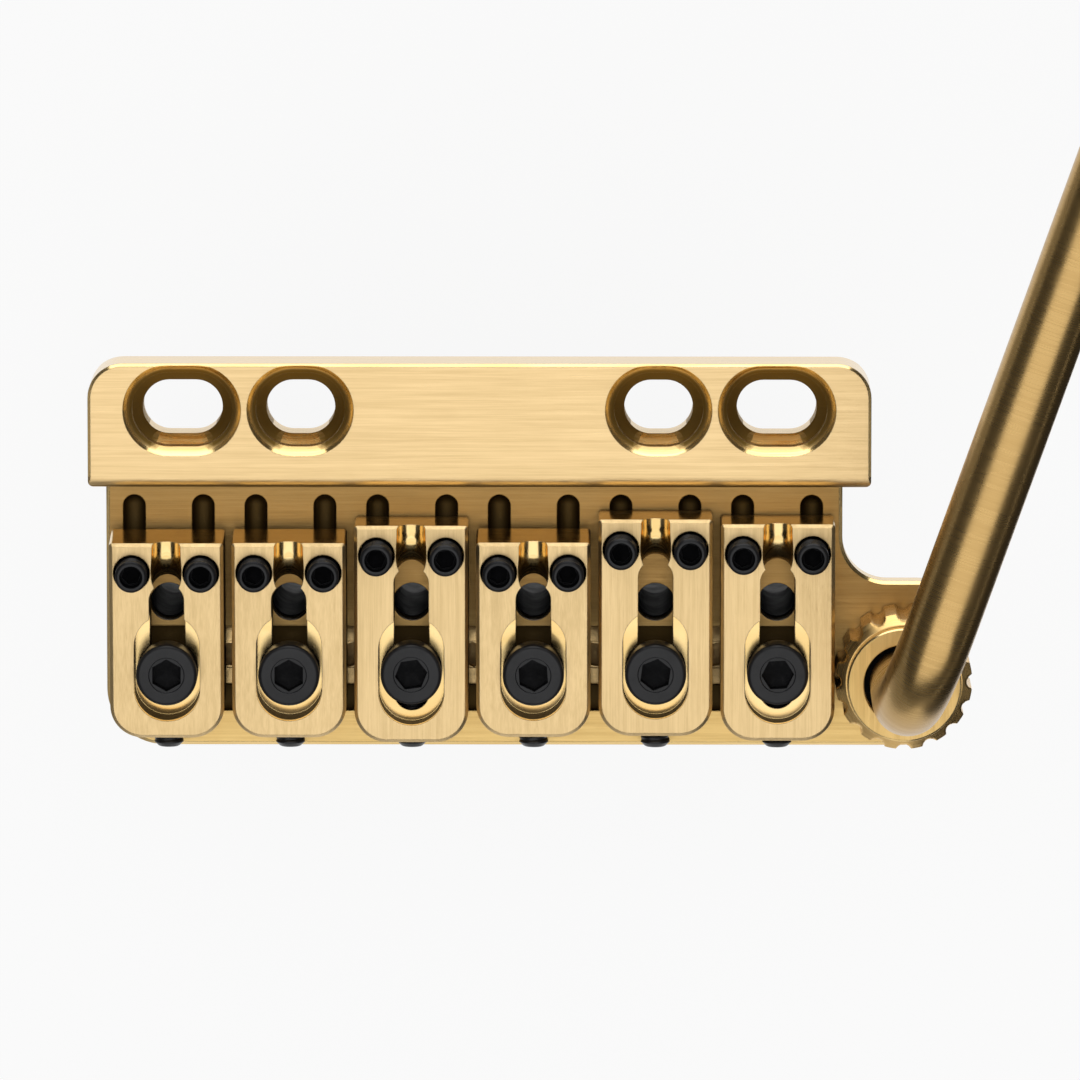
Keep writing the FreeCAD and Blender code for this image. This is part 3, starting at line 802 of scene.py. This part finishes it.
@dataclass(frozen=True)
class TurnedGold:
    """Gold-plated lathe work: fine rings about an upright axis, with painted shade in recesses."""

    name: str
    axis: Point
    colour: Colour = (0.80, 0.535, 0.21)
    shade: Colour = (0.9, 0.87, 0.82)
    # Colour and share of the painted shade in recesses.
    painted_shade: Colour = (0.30, 0.165, 0.04)
    painted_shade_share: float = 0.6
    roughness: float = 0.26
    ring_roughness: float = 0.06
    haze_roughness: float = 0.06
    edge_roughness: float = -0.06
    pitch: float = 0.06 * MM
    ring_depth: float = 0.003 * MM
    relief: float = 0.15
    haze_size: float = 5.0 * MM
    edge_radius: float = 0.12 * MM
    recess_reach: float = 3.0 * MM
    recess_open: float = 0.62
    recess_shut: float = 0.25

    def material(self, groups: EffectGroups) -> Material:
        """Builds the node material.

        Args:
            groups: The shared effects.

        Returns:
            The material.
        """
        made, pad, skin = new_material(self.name)
        skin["Metallic"].default_value = 1.0
        place = pad.add("ShaderNodeTexCoord").outputs["Object"]
        centred = pad.add("ShaderNodeMapping", {"Vector": place, "Location": tuple(-a for a in self.axis)}).outputs[0]
        rings = pad.group(groups.rings, {"Vector": centred, "Pitch": self.pitch})
        haze = pad.group(groups.haze, {"Vector": place, "Size": self.haze_size})
        edge = pad.group(groups.edges, {"Radius": self.edge_radius})
        sky = {"Reach": self.recess_reach, "Open": self.recess_open, "Shut": self.recess_shut}
        # Painted shade: recesses are blended towards a dark colour by how far the metal around shuts out the sky.
        shaded = pad.math("MULTIPLY", pad.group(groups.recess, sky)["Deep"], self.painted_shade_share)
        colour = pad.two_tone(rings["Tone"], self.colour, self.shade)
        pad.link(pad.blend(shaded, colour, self.painted_shade), skin["Base Color"])
        worn = ((haze["Haze"], self.haze_roughness), (edge["Edge"], self.edge_roughness))
        rough = self.roughness - self.ring_roughness / 2.0
        pad.link(pad.total(rough, (rings["Tone"], self.ring_roughness), *worn), skin["Roughness"])
        pad.link(pad.bump(rings["Height"], self.relief, self.ring_depth, Normal=edge["Normal"]), skin["Normal"])
        return made


@dataclass(frozen=True)
class BrushedRod:
    """Satin gold on the arm, brushed round it: lines that follow the arm's own UV map."""

    name: str
    colour: Colour = (0.54, 0.355, 0.14)
    shade: Colour = (0.92, 0.90, 0.86)
    roughness: float = 0.27
    grain_roughness: float = -0.08
    haze_roughness: float = 0.05
    scratch_roughness: float = -0.08
    grain_along: float = 3.0
    grain_across: float = 12000.0
    groove_depth: float = 0.006 * MM
    relief: float = 0.3
    haze_size: float = 9.0 * MM
    haze_share: float = 0.25

    def material(self, groups: EffectGroups) -> Material:
        """Builds the node material.

        Args:
            groups: The shared effects.

        Returns:
            The material.
        """
        made, pad, skin = new_material(self.name)
        skin["Metallic"].default_value = 1.0
        place = pad.add("ShaderNodeTexCoord").outputs["Object"]
        wrapped = pad.add("ShaderNodeUVMap", uv_map="surface").outputs[0]
        grain = pad.group(groups.grain, {"Vector": wrapped, "Along": self.grain_along, "Across": self.grain_across})
        haze = pad.group(groups.haze, {"Vector": place, "Size": self.haze_size})
        deep = tuple(c * s for c, s in zip(self.colour, self.shade))
        colour = pad.two_tone(grain["Tone"], self.colour, self.shade)
        dulled = pad.math("MULTIPLY", haze["Haze"], self.haze_share)
        pad.link(pad.blend(dulled, colour, deep), skin["Base Color"])
        worn = ((haze["Haze"], self.haze_roughness), (haze["Scratch"], self.scratch_roughness))
        rough = self.roughness - self.grain_roughness / 2.0
        pad.link(pad.total(rough, (grain["Tone"], self.grain_roughness), *worn), skin["Roughness"])
        pad.link(pad.bump(grain["Height"], self.relief, self.groove_depth), skin["Normal"])
        return made


@dataclass(frozen=True)
class PlainFinish:
    """A single-material finish with haze, fine tooth, rubbed edges and painted shade in recesses: oxide, nylon, steel
    or bronze.
    """

    name: str
    colour: Colour
    rubbed: Colour
    metallic: float
    roughness: float
    gloss: float = 0.5
    dulled: float = 0.75
    rubbed_share: float = 0.7
    haze_size: float = 2.5 * MM
    haze_roughness: float = 0.12
    clear_gloss: float = 0.05
    edge_roughness: float = -0.06
    tooth: float = 0.05 * MM
    tooth_depth: float = 0.004 * MM
    relief: float = 0.15
    edge_radius: float = 0.08 * MM
    recess_reach: float = 2.0 * MM
    recess_open: float = 0.72
    recess_shut: float = 0.36
    recess_dulling: float = 0.5

    def material(self, groups: EffectGroups) -> Material:
        """Builds the node material.

        Args:
            groups: The shared effects.

        Returns:
            The material.
        """
        made, pad, skin = new_material(self.name)
        skin["Specular IOR Level"].default_value = self.gloss
        place = pad.add("ShaderNodeTexCoord").outputs["Object"]
        haze = pad.group(groups.haze, {"Vector": place, "Size": self.haze_size})
        edge = pad.group(groups.edges, {"Radius": self.edge_radius})
        sky = {"Reach": self.recess_reach, "Open": self.recess_open, "Shut": self.recess_shut}
        deep = pad.group(groups.recess, sky)["Deep"]
        skin["Metallic"].default_value = self.metallic
        # Painted shade: in recesses a part that is not metal turns metallic, so a dark part loses its sheen there.
        if self.metallic < 1.0:
            pad.link(pad.math("MAXIMUM", deep, self.metallic), skin["Metallic"])
        colour = pad.blend(haze["Haze"], self.colour, tuple(c * self.dulled for c in self.colour))
        share = pad.math("MULTIPLY", edge["Edge"], self.rubbed_share)
        pad.link(pad.blend(share, colour, self.rubbed), skin["Base Color"])
        worn = ((deep, self.recess_dulling), (edge["Edge"], self.edge_roughness))
        rough = self.roughness - self.clear_gloss
        pad.link(pad.total(rough, (haze["Haze"], self.haze_roughness), *worn), skin["Roughness"])
        tooth = pad.noise(place, 1.0 / self.tooth)[0]
        pad.link(pad.bump(tooth, self.relief, self.tooth_depth, Normal=edge["Normal"]), skin["Normal"])
        return made


def dress(piece: bpy.types.Object, material: Material) -> None:
    """Gives a piece one material in place of those that it came with."""
    piece.data.materials.clear()
    piece.data.materials.append(material)


# Sub-assemblies


@dataclass
class Bench:
    """What every sub-assembly needs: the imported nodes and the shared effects."""

    nodes: dict[str, bpy.types.Object]
    groups: EffectGroups

    def keep(self, node: str, material: Material) -> None:
        """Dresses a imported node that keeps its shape."""
        dress(self.nodes[node], material)
        LOG.info("%s keeps its solid, finish %s", node, material.name)

    def put(self, surface: Surface, name: str, body: str, node: str, slot: str, material: Material) -> None:
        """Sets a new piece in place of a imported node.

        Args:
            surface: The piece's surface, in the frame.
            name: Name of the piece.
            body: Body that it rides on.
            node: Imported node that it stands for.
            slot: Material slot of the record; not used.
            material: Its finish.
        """
        piece = surface.piece(name)
        dress(piece, material)
        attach(piece, body)
        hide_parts(node)
        LOG.info("%s stands for %s with %d faces, finish %s", name, node, len(piece.data.polygons), material.name)


@dataclass
class PlatesAndHinge:
    """Front plate, bridge plate and the hinge between them, with the block below."""

    bench: Bench
    bronze: PlainFinish = PlainFinish("bronze_bush", (0.55, 0.36, 0.17), (0.66, 0.45, 0.24), 1.0, 0.34)
    steel: PlainFinish = PlainFinish("hard_steel_pin", (0.52, 0.53, 0.55), (0.70, 0.71, 0.72), 1.0, 0.22)
    blackened: PlainFinish = PlainFinish(
        "blackened_block", (0.012, 0.012, 0.013), (0.05, 0.05, 0.053), 0.0, 0.5, gloss=0.1
    )
    # Painted shade in the slots' cones and recesses under the top, mostly spared on front faces.
    front: SatinGold = SatinGold(
        "satin_front_plate",
        painted_shade=(0.19, 0.11, 0.014),
        recess_reach=5.0 * MM,
        recess_open=0.93,
        recess_shut=0.68,
        painted_shade_share=0.9,
        painted_shade_below=0.2 * MM,
        front_spared=0.75,
        slope_painted_shade=1.0,
    )
    lip_width: float = 1.0 * MM
    # The bridge plate's land is dark as painted shade in front of the saddles and turns to a painted lit colour over
    # its rear strip; its grooves and gaps carry near-black painted shade.
    deck: SatinGold = SatinGold(
        "satin_bridge_plate",
        land=(0.34, 0.205, 0.07),
        painted_lit_rear=(0.68, 0.475, 0.188),
        painted_shade=(0.055, 0.03, 0.007),
        recess_open=0.97,
        recess_shut=0.76,
        painted_shade_share=0.95,
    )
    # Distances from the plate's rear edge: where the painted light of the rear strip is full, and where the painted
    # shade in front of the saddles is full.
    painted_light_strip: float = 2.5 * MM
    painted_shade_from: float = 15.0 * MM

    def build(self) -> None:
        """Dresses the plates, the pins and bushes, and the block."""
        groups = self.bench.groups
        low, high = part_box("front_plate")
        front = replace(self.front, offset=high.z, brushed_behind=low.y + self.lip_width)
        self.bench.keep("front_plate", front.material(groups))
        low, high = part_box("bridge_plate")
        lines = {"painted_light_line": low.y + self.painted_light_strip, "painted_shade_line": low.y + self.painted_shade_from}
        self.bench.keep("bridge_plate", replace(self.deck, offset=high.z, **lines).material(groups))
        self.bench.keep("tremolo_block", self.blackened.material(groups))
        self.bench.keep("pivot_pins", self.steel.material(groups))
        self.bench.keep("pivot_bushes", self.bronze.material(groups))


@dataclass
class Saddles:
    """Six saddles with their height and intonation screws."""

    bench: Bench
    black: Material
    long_ones: tuple[bool, ...] = (False, False, True, False, True, True)
    short_tilt: float = 5.5
    long_tilt: float = 1.0
    # Painted shade in pockets, gaps and on walls under the top, spared on level faces.
    satin: SatinGold = SatinGold(
        "satin_saddle_",
        land=(0.71, 0.52, 0.265),
        grain=Grain.ALONG_STRINGS,
        steep=0.6,
        painted_shade=(0.05, 0.026, 0.006),
        recess_reach=6.0 * MM,
        recess_open=0.48,
        recess_shut=0.3,
        painted_shade_share=0.95,
        painted_shade_below=0.3 * MM,
        level_spared=1.0,
    )
    height_screw: ScrewForm = ScrewForm(
        radius=1.42 * MM,
        length=10.0 * MM,
        pitch=0.5 * MM,
        thread_depth=0.2 * MM,
        socket=1.5 * MM,
        socket_depth=1.4 * MM,
        edge=0.2 * MM,
        point_radius=0.8 * MM,
        mouth=1.02 * MM,
        mouth_depth=0.95 * MM,
        point_length=1.15 * MM,
        point_cone=0.3 * MM,
    )
    intonation_screw: ScrewForm = ScrewForm(
        radius=1.3 * MM,
        length=5.7 * MM,
        pitch=0.45 * MM,
        thread_depth=0.17 * MM,
        socket=1.3 * MM,
        socket_depth=1.2 * MM,
        edge=0.4 * MM,
        point_radius=0.9 * MM,
        mouth=0.82 * MM,
        mouth_depth=0.2 * MM,
        point_cone=0.4 * MM,
    )
    screw_turns: tuple[float, ...] = (12.0, 41.0, 5.0, 27.0, 50.0, 19.0)

    def build(self) -> None:
        """Builds the six saddles in order."""
        for place, is_long in enumerate(self.long_ones):
            tilt = math.radians(self.long_tilt if is_long else self.short_tilt)
            self.build_one(str(place + 1), tilt, math.radians(self.screw_turns[place]))

    def build_one(self, tag: str, tilt: float, turn: float) -> None:
        """Dresses one saddle and makes its screws.

        Args:
            tag: Number of the saddle, from 1 at the bass side.
            tilt: How far its front is raised, in radians.
            turn: How far its screws are turned, in radians.
        """
        up = np.array([0.0, -math.sin(tilt), math.cos(tilt)])
        outer = float((vertices_of(self.bench.nodes["saddle_" + tag]) @ up).max())
        satin = replace(self.satin, name=self.satin.name + tag, facing=tuple(up), offset=outer)
        self.bench.keep("saddle_" + tag, satin.material(self.bench.groups))
        name = "height_screws_" + tag
        node = self.bench.nodes[name]
        low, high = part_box(name)
        middle = (low.x + high.x) / 2.0
        form = self.height_screw.surface()
        spans = [SpanOnAxis.of_node(node, up, low.x - MM, middle), SpanOnAxis.of_node(node, up, middle, high.x + MM)]
        pair = Surface.joined([form.placed(up, span.foot, turn * (1.0 + k)) for k, span in enumerate(spans)])
        self.bench.put(pair, "height_grubs_" + tag, name, name, "black_screw", self.black)
        name = "intonation_screw_" + tag
        low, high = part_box(name)
        span = SpanOnAxis.of_node(self.bench.nodes[name], BACK, low.x - MM, high.x + MM)
        grub = self.intonation_screw.surface().placed(BACK, span.foot, turn)
        self.bench.put(grub, "intonation_grub_" + tag, name, name, "black_screw", self.black)


@dataclass
class Fixings:
    """Lock screws on the saddles and block screws in the channel."""

    bench: Bench
    black: Material
    gold: Material
    string_pitch: float = 10.8 * MM
    lock: ScrewForm = ScrewForm(
        radius=1.42 * MM,
        pitch=0.5 * MM,
        thread_depth=0.2 * MM,
        socket=2.5 * MM,
        socket_depth=1.5 * MM,
        edge=0.42 * MM,
        point_radius=1.12 * MM,
        mouth=1.6 * MM,
        mouth_depth=0.14 * MM,
        head_radius=2.72 * MM,
        head_height=3.0 * MM,
    )
    lock_turns: tuple[float, ...] = (30.0, 30.0, 8.0, 34.0, 22.0, 3.0)
    sunk: ScrewForm = ScrewForm(
        radius=1.5 * MM,
        pitch=0.5 * MM,
        thread_depth=0.2 * MM,
        socket=2.0 * MM,
        socket_depth=0.9 * MM,
        edge=0.12 * MM,
        point_radius=1.2 * MM,
        mouth=1.25 * MM,
        mouth_depth=0.1 * MM,
        head_radius=2.7 * MM,
        head_height=1.2 * MM,
        head_cone=True,
    )
    sunk_turns: tuple[float, ...] = (0.0, 17.0, 34.0, 51.0, 68.0)

    def build(self) -> None:
        """Makes both rows of screws."""
        locks = self.row("lock_screws", self.lock, self.lock_turns)
        self.bench.put(locks, "lock_cap_screws", "rocker", "lock_screws", "black_screw", self.black)
        sunk = self.row("block_screws", self.sunk, self.sunk_turns)
        self.bench.put(sunk, "block_flat_screws", "rocker", "block_screws", "gold_screw", self.gold)

    def row(self, node: str, form: ScrewForm, turns: tuple[float, ...]) -> Surface:
        """Makes a row of screws a string pitch apart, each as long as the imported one.

        Args:
            node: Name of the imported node.
            form: Form of its screws.
            turns: How far each screw is turned, from the bass side, in degrees.

        Returns:
            The screws as one surface, in the frame.
        """
        low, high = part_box(node)
        half = self.string_pitch / 2.0
        first = (low.x + high.x) / 2.0 - (len(turns) - 1) * half
        screws = []
        for place, turn in enumerate(turns):
            x = first + place * self.string_pitch
            span = SpanOnAxis.of_node(self.bench.nodes[node], UP, x - half, x + half)
            screws.append(replace(form, length=span.length).surface().placed(UP, span.foot, math.radians(turn)))
        return Surface.joined(screws)


@dataclass
class ArmAndWheel:
    """The arm, its seat and sleeve on the ear, and the scalloped wheel that tightens it."""

    bench: Bench
    gold: Material
    rod: Material
    nylon: Material
    black: Material
    seat: SatinGold = SatinGold("satin_arm_seat", land=(0.68, 0.462, 0.18), grain=Grain.ALONG_STRINGS)
    arm_radius: float = 3.05 * MM
    bend_start: float = 21.0 * MM
    bend_radius: float = 9.0 * MM
    heading: float = 19.4
    rise: float = 3.0
    first_length: float = 82.0 * MM
    second_radius: float = 40.0 * MM
    second_bend: float = 10.0
    second_length: float = 38.0 * MM
    tip_round: float = 2.6 * MM
    tip_rows: int = 14
    foot_edge: float = 0.2 * MM
    path_step: float = 0.25 * MM
    arm_turns: int = 96
    wheel_radius: float = 6.05 * MM
    wheel_bore: float = 4.25 * MM
    wheel_edge: float = 0.12 * MM
    tooth_count: int = 16
    turns_per_tooth: int = 24
    valley_radius: float = 0.65 * MM
    valley_depth: float = 0.5 * MM
    crown_height: float = 0.9 * MM
    crown_width: float = 0.9 * MM
    crown_rows: int = 6

    def build(self) -> None:
        """Makes the arm and the wheel and dresses the seat."""
        seat = replace(self.seat, offset=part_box("arm_seat")[1].z)
        self.bench.keep("arm_seat", seat.material(self.bench.groups))
        self.bench.keep("arm_seat_screw", self.black)
        self.bench.keep("arm_sleeve", self.nylon)
        wheel = self.wheel_surface()
        self.bench.put(wheel, "tension_wheel_scalloped", "wheel", "tension_wheel", "gold_turned", self.gold)
        self.bench.put(self.arm_surface(), "arm_rod", "arm", "tremolo_arm", "gold_arm", self.rod)

    def axis(self) -> tuple[float, float]:
        """X and Y of the arm's upright axis, the middle of its sleeve."""
        low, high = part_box("arm_sleeve")
        return (low.x + high.x) / 2.0, (low.y + high.y) / 2.0

    def arm_surface(self) -> Surface:
        """Sweeps a circle along the arm's path.

        The path lies in the upright plane of the heading. Its slope from the vertical is a function of the distance s
        along it: nothing on the shank, then growing evenly through each bend. The sum of its sine and cosine over s
        gives the path's reach and height. The circle keeps one axis level, and near the tip its radius follows a
        quarter circle.

        Returns:
            The closed surface, in the frame.
        """
        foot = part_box("tremolo_arm")[0].z
        main_turn = QUARTER_TURN - math.radians(self.rise)
        last_turn = math.radians(self.second_bend)
        bends = (self.bend_radius * main_turn, self.first_length, self.second_radius * last_turn)
        runs = np.cumsum([0.0, self.bend_start - foot, *bends, self.second_length])
        slopes = np.array([0.0, 0.0, main_turn, main_turn, main_turn + last_turn, main_turn + last_turn])
        end = runs[-1]
        body = np.linspace(0.0, end - self.tip_round, int(end / self.path_step))
        tip = end - self.tip_round * (1.0 - np.sin(np.linspace(0.0, QUARTER_TURN, self.tip_rows)[1:]))
        s = np.concatenate([body, tip])
        middle = np.interp((s[1:] + s[:-1]) / 2.0, runs, slopes)
        reach = np.concatenate([[0.0], np.cumsum(np.diff(s) * np.sin(middle))])
        height = foot + np.concatenate([[0.0], np.cumsum(np.diff(s) * np.cos(middle))])
        slope = np.interp(s, runs, slopes)
        past = np.clip((s - (end - self.tip_round)) / self.tip_round, 0.0, 1.0)
        radius = self.arm_radius - self.tip_round * (1.0 - np.sqrt(1.0 - past**2))
        radius[0] -= self.foot_edge
        turn = math.radians(self.heading)
        level = np.array([math.sin(turn), math.cos(turn), 0.0])
        centre = np.array([*self.axis(), 0.0]) + np.outer(reach, level) + np.outer(height, UP)
        over = np.outer(np.cos(slope), level) - np.outer(np.sin(slope), UP)
        angle = np.arange(self.arm_turns) * FULL_TURN / self.arm_turns
        ring = np.cos(angle)[:, None] * over[:, None, :] + np.sin(angle)[:, None] * np.cross(UP, level)
        return Surface.of_rings(centre[:, None, :] + radius[:, None, None] * ring, s, centre[[0, -1]])

    def wheel_surface(self) -> Surface:
        """Turns the wheel's profile with its scallops.

        The outer radius at an angle is the lesser of the profile's and of the nearest valley's wall, which is a circle
        about a point outside the rim: reach * cos(a) - sqrt(valley_radius^2 - (reach * sin(a))^2).

        Returns:
            The closed ring, in the frame.
        """
        low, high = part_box("tension_wheel")
        height = high.z - low.z
        straight = height - self.crown_height
        turns = self.tooth_count * self.turns_per_tooth
        angle = np.arange(turns) * FULL_TURN / turns
        pitch = FULL_TURN / self.tooth_count
        off = np.abs(np.mod(angle + pitch / 2.0, pitch) - pitch / 2.0)
        reach = self.wheel_radius + self.valley_radius - self.valley_depth
        inside = np.clip(self.valley_radius**2 - (reach * np.sin(off)) ** 2, 0.0, None)
        valley = np.where(inside > 0.0, reach * np.cos(off) - np.sqrt(inside), self.wheel_radius)
        rim = np.minimum(valley, self.wheel_radius)
        soft = self.wheel_edge
        crown = np.linspace(0.0, 1.0, self.crown_rows)
        dome = np.minimum(rim, self.wheel_radius - self.crown_width * crown[:, None])
        bore = np.outer(self.wheel_bore + np.array([soft, 0.0, 0.0, soft]), np.ones(turns))
        radii = np.concatenate([[rim - soft, rim, rim], dome, bore])
        bore_z = [height, height - soft, soft, 0.0]
        heights = np.concatenate([[0.0, soft, straight * 0.5], straight + crown * self.crown_height, bore_z])
        rings = round_rings(radii, heights) + np.array([*self.axis(), low.z])
        return Surface.of_rings(rings, np.arange(len(heights) + 1) / len(heights))


# Studio


@dataclass(frozen=True)
class SoftBox:
    """A large even lamp that points at the bridge."""

    name: str
    place: Point
    width: float
    depth: float
    radiance: float

    def build(self, target: Vector) -> None:
        """Makes the lamp: its power is radiance times pi times its area.

        Args:
            target: Point that it faces.
        """
        lamp = bpy.data.lights.new(self.name, "AREA")
        lamp.shape = "RECTANGLE"
        lamp.size = self.width
        lamp.size_y = self.depth
        lamp.energy = self.radiance * math.pi * self.width * self.depth
        stand = shown(self.name, lamp)
        stand.location = self.place
        stand.rotation_mode = "QUATERNION"
        stand.rotation_quaternion = (target - Vector(self.place)).to_track_quat("-Z", "Y")
        stand.visible_camera = False


@dataclass(frozen=True)
class SideCard:
    """A card on the table beside the camera's view, which gives the metal something dark to mirror."""

    name: str
    left: float
    right: float
    colour: Colour
    reach: float = 1.0
    roughness: float = 0.9

    def build(self, level: float) -> None:
        """Lays the card flat at a level, where only mirrored rays meet it.

        Args:
            level: Height of the card.
        """
        near, far = -self.reach, self.reach
        corners = [(self.left, near), (self.right, near), (self.right, far), (self.left, far)]
        mesh = bpy.data.meshes.new(self.name)
        mesh.from_pydata([(x, y, level) for x, y in corners], [], [(0, 1, 2, 3)])
        card = shown(self.name, mesh)
        paper, _, skin = new_material(self.name + "_paper")
        skin["Base Color"].default_value = (*self.colour, 1.0)
        skin["Roughness"].default_value = self.roughness
        dress(card, paper)
        card.visible_camera = False
        card.visible_diffuse = False
        card.visible_shadow = False
        card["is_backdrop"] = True


@dataclass
class Studio:
    """Table, light and camera."""

    image_side: float = 1080.0
    focal_pixels: float = 11768.5
    sensor: float = 36.0
    clip: tuple[float, float] = (0.01, 20.0)
    eye: Point = (11.31 * MM, 136.95 * MM, 1038.47 * MM)
    aim: Point = (5.33 * MM, -12.45 * MM, 0.0)
    lamp_aim: Point = (0.0, -12.0 * MM, 0.0)
    table_side: float = 6.0
    table_cells: int = 8
    table_gap: float = 0.05 * MM
    table_colour: Colour = (0.947, 0.947, 0.947)
    table_glow_colour: Colour = (0.975, 0.975, 0.975)
    table_glow: float = 0.93
    air: Colour = (0.07, 0.07, 0.072)
    boxes: tuple[SoftBox, ...] = field(
        default_factory=lambda: (
            SoftBox("rear_overhead_box", (0.0, -0.75, 1.30), 2.1, 1.73, 1.25),
            SoftBox("front_overhead_box", (0.0, 0.43, 1.44), 2.1, 0.86, 1.5),
            SoftBox("front_low_box", (0.0, 1.35, 0.34), 1.5, 0.7, 2.4),
        )
    )
    cards: tuple[SideCard, ...] = field(
        default_factory=lambda: (
            SideCard("dark_card_right", 0.075, 1.0, (0.03, 0.03, 0.03)),
            SideCard("grey_card_left", -1.0, -0.065, (0.40, 0.39, 0.37)),
        )
    )

    def build(self) -> None:
        """Sets the table, the cards, the lamps, the air and the camera."""
        self.table()
        for card in self.cards:
            card.build(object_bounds()[0].z)
        for box in self.boxes:
            box.build(Vector(self.lamp_aim))
        self.surroundings()
        self.camera()
        bpy.context.scene.view_settings.view_transform = "Standard"

    def table(self) -> None:
        """Lays a pale table under the lowest point, as a flat sheet that shows white and keeps a faint shadow."""
        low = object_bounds()[0].z - self.table_gap
        half, lines = self.table_side / 2.0, self.table_cells + 1
        grid = np.linspace(-half, half, lines)
        x, y = np.meshgrid(grid, grid, indexing="ij")
        points = np.stack([x, y, np.full_like(x, low)], -1).reshape(-1, 3)
        row, column = np.meshgrid(np.arange(self.table_cells), np.arange(self.table_cells), indexing="ij")
        first = row * lines + column
        faces = np.stack([first, first + lines, first + lines + 1, first + 1], -1).reshape(-1, 4)
        mesh = bpy.data.meshes.new("pale_table")
        mesh.from_pydata(points.tolist(), [], faces.tolist())
        table = shown("pale_table", mesh)
        dress(table, self.table_material())
        table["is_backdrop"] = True

    def table_material(self) -> Material:
        """Pale matt paint that glows evenly for what the camera, metal and glass see, so its shadow stays faint.

        Returns:
            The material.
        """
        made = bpy.data.materials.new("pale_table_paint")
        made.use_nodes = True
        made.node_tree.nodes.clear()
        pad = NodePad(made.node_tree)
        matt = pad.add("ShaderNodeBsdfDiffuse", {"Color": (*self.table_colour, 1.0)})
        glow = pad.add("ShaderNodeEmission", {"Color": (*self.table_glow_colour, 1.0), "Strength": 1.0})
        path = pad.add("ShaderNodeLightPath").outputs
        seen = pad.math("ADD", path["Is Camera Ray"], path["Is Glossy Ray"])
        seen = pad.math("ADD", seen, path["Is Transmission Ray"], clamp=True)
        share = pad.math("MULTIPLY", seen, self.table_glow)
        both = pad.add("ShaderNodeMixShader", {0: share, 1: matt.outputs[0], 2: glow.outputs[0]})
        pad.add("ShaderNodeOutputMaterial", {"Surface": both.outputs[0]})
        return made

    def surroundings(self) -> None:
        """Fills the air with an even soft grey."""
        world = bpy.data.worlds.new("soft_grey_air")
        world.use_nodes = True
        world.node_tree.nodes["Background"].inputs["Color"].default_value = (*self.air, 1.0)
        bpy.context.scene.world = world

    def camera(self) -> None:
        """Places the camera over the bridge, looking down with the neck's side at the top."""
        lens = bpy.data.cameras.new("photo_camera")
        lens.sensor_width = self.sensor
        lens.lens = self.sensor * self.focal_pixels / self.image_side
        lens.clip_start, lens.clip_end = self.clip
        forward = (Vector(self.aim) - Vector(self.eye)).normalized()
        right = forward.cross(Vector((0.0, 1.0, 0.0))).normalized()
        up = right.cross(forward)
        stand = shown("photo_camera", lens)
        stand.matrix_world = Matrix.Translation(self.eye) @ Matrix((right, up, -forward)).transposed().to_4x4()
        bpy.context.scene.camera = stand


def main() -> None:
    """Loads the frame, dresses each sub-assembly in order and sets up the studio."""
    logging.basicConfig(level=logging.INFO, format="%(message)s")
    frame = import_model()
    bench = Bench(frame["nodes"], EffectGroups())
    oxide = PlainFinish("black_oxide", (0.011, 0.011, 0.012), (0.06, 0.06, 0.063), 0.0, 0.33, gloss=0.3)
    black = oxide.material(bench.groups)
    nylon = PlainFinish("black_nylon", (0.018, 0.018, 0.019), (0.03, 0.03, 0.03), 0.0, 0.5).material(bench.groups)
    low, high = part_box("arm_seat")
    seat_axis = ((low.x + high.x) / 2.0, (low.y + high.y) / 2.0, 0.0)
    lathe = TurnedGold("turned_gold", seat_axis).material(bench.groups)
    screw_gold = PlainFinish("gold_screw_plate", (0.84, 0.59, 0.27), (0.9, 0.7, 0.4), 1.0, 0.2).material(bench.groups)
    rod = BrushedRod("brushed_arm").material(bench.groups)
    PlatesAndHinge(bench).build()
    Saddles(bench, black).build()
    Fixings(bench, black, screw_gold).build()
    ArmAndWheel(bench, lathe, rod, nylon, black).build()
    Studio().build()


if __name__ == "__main__":
    main()
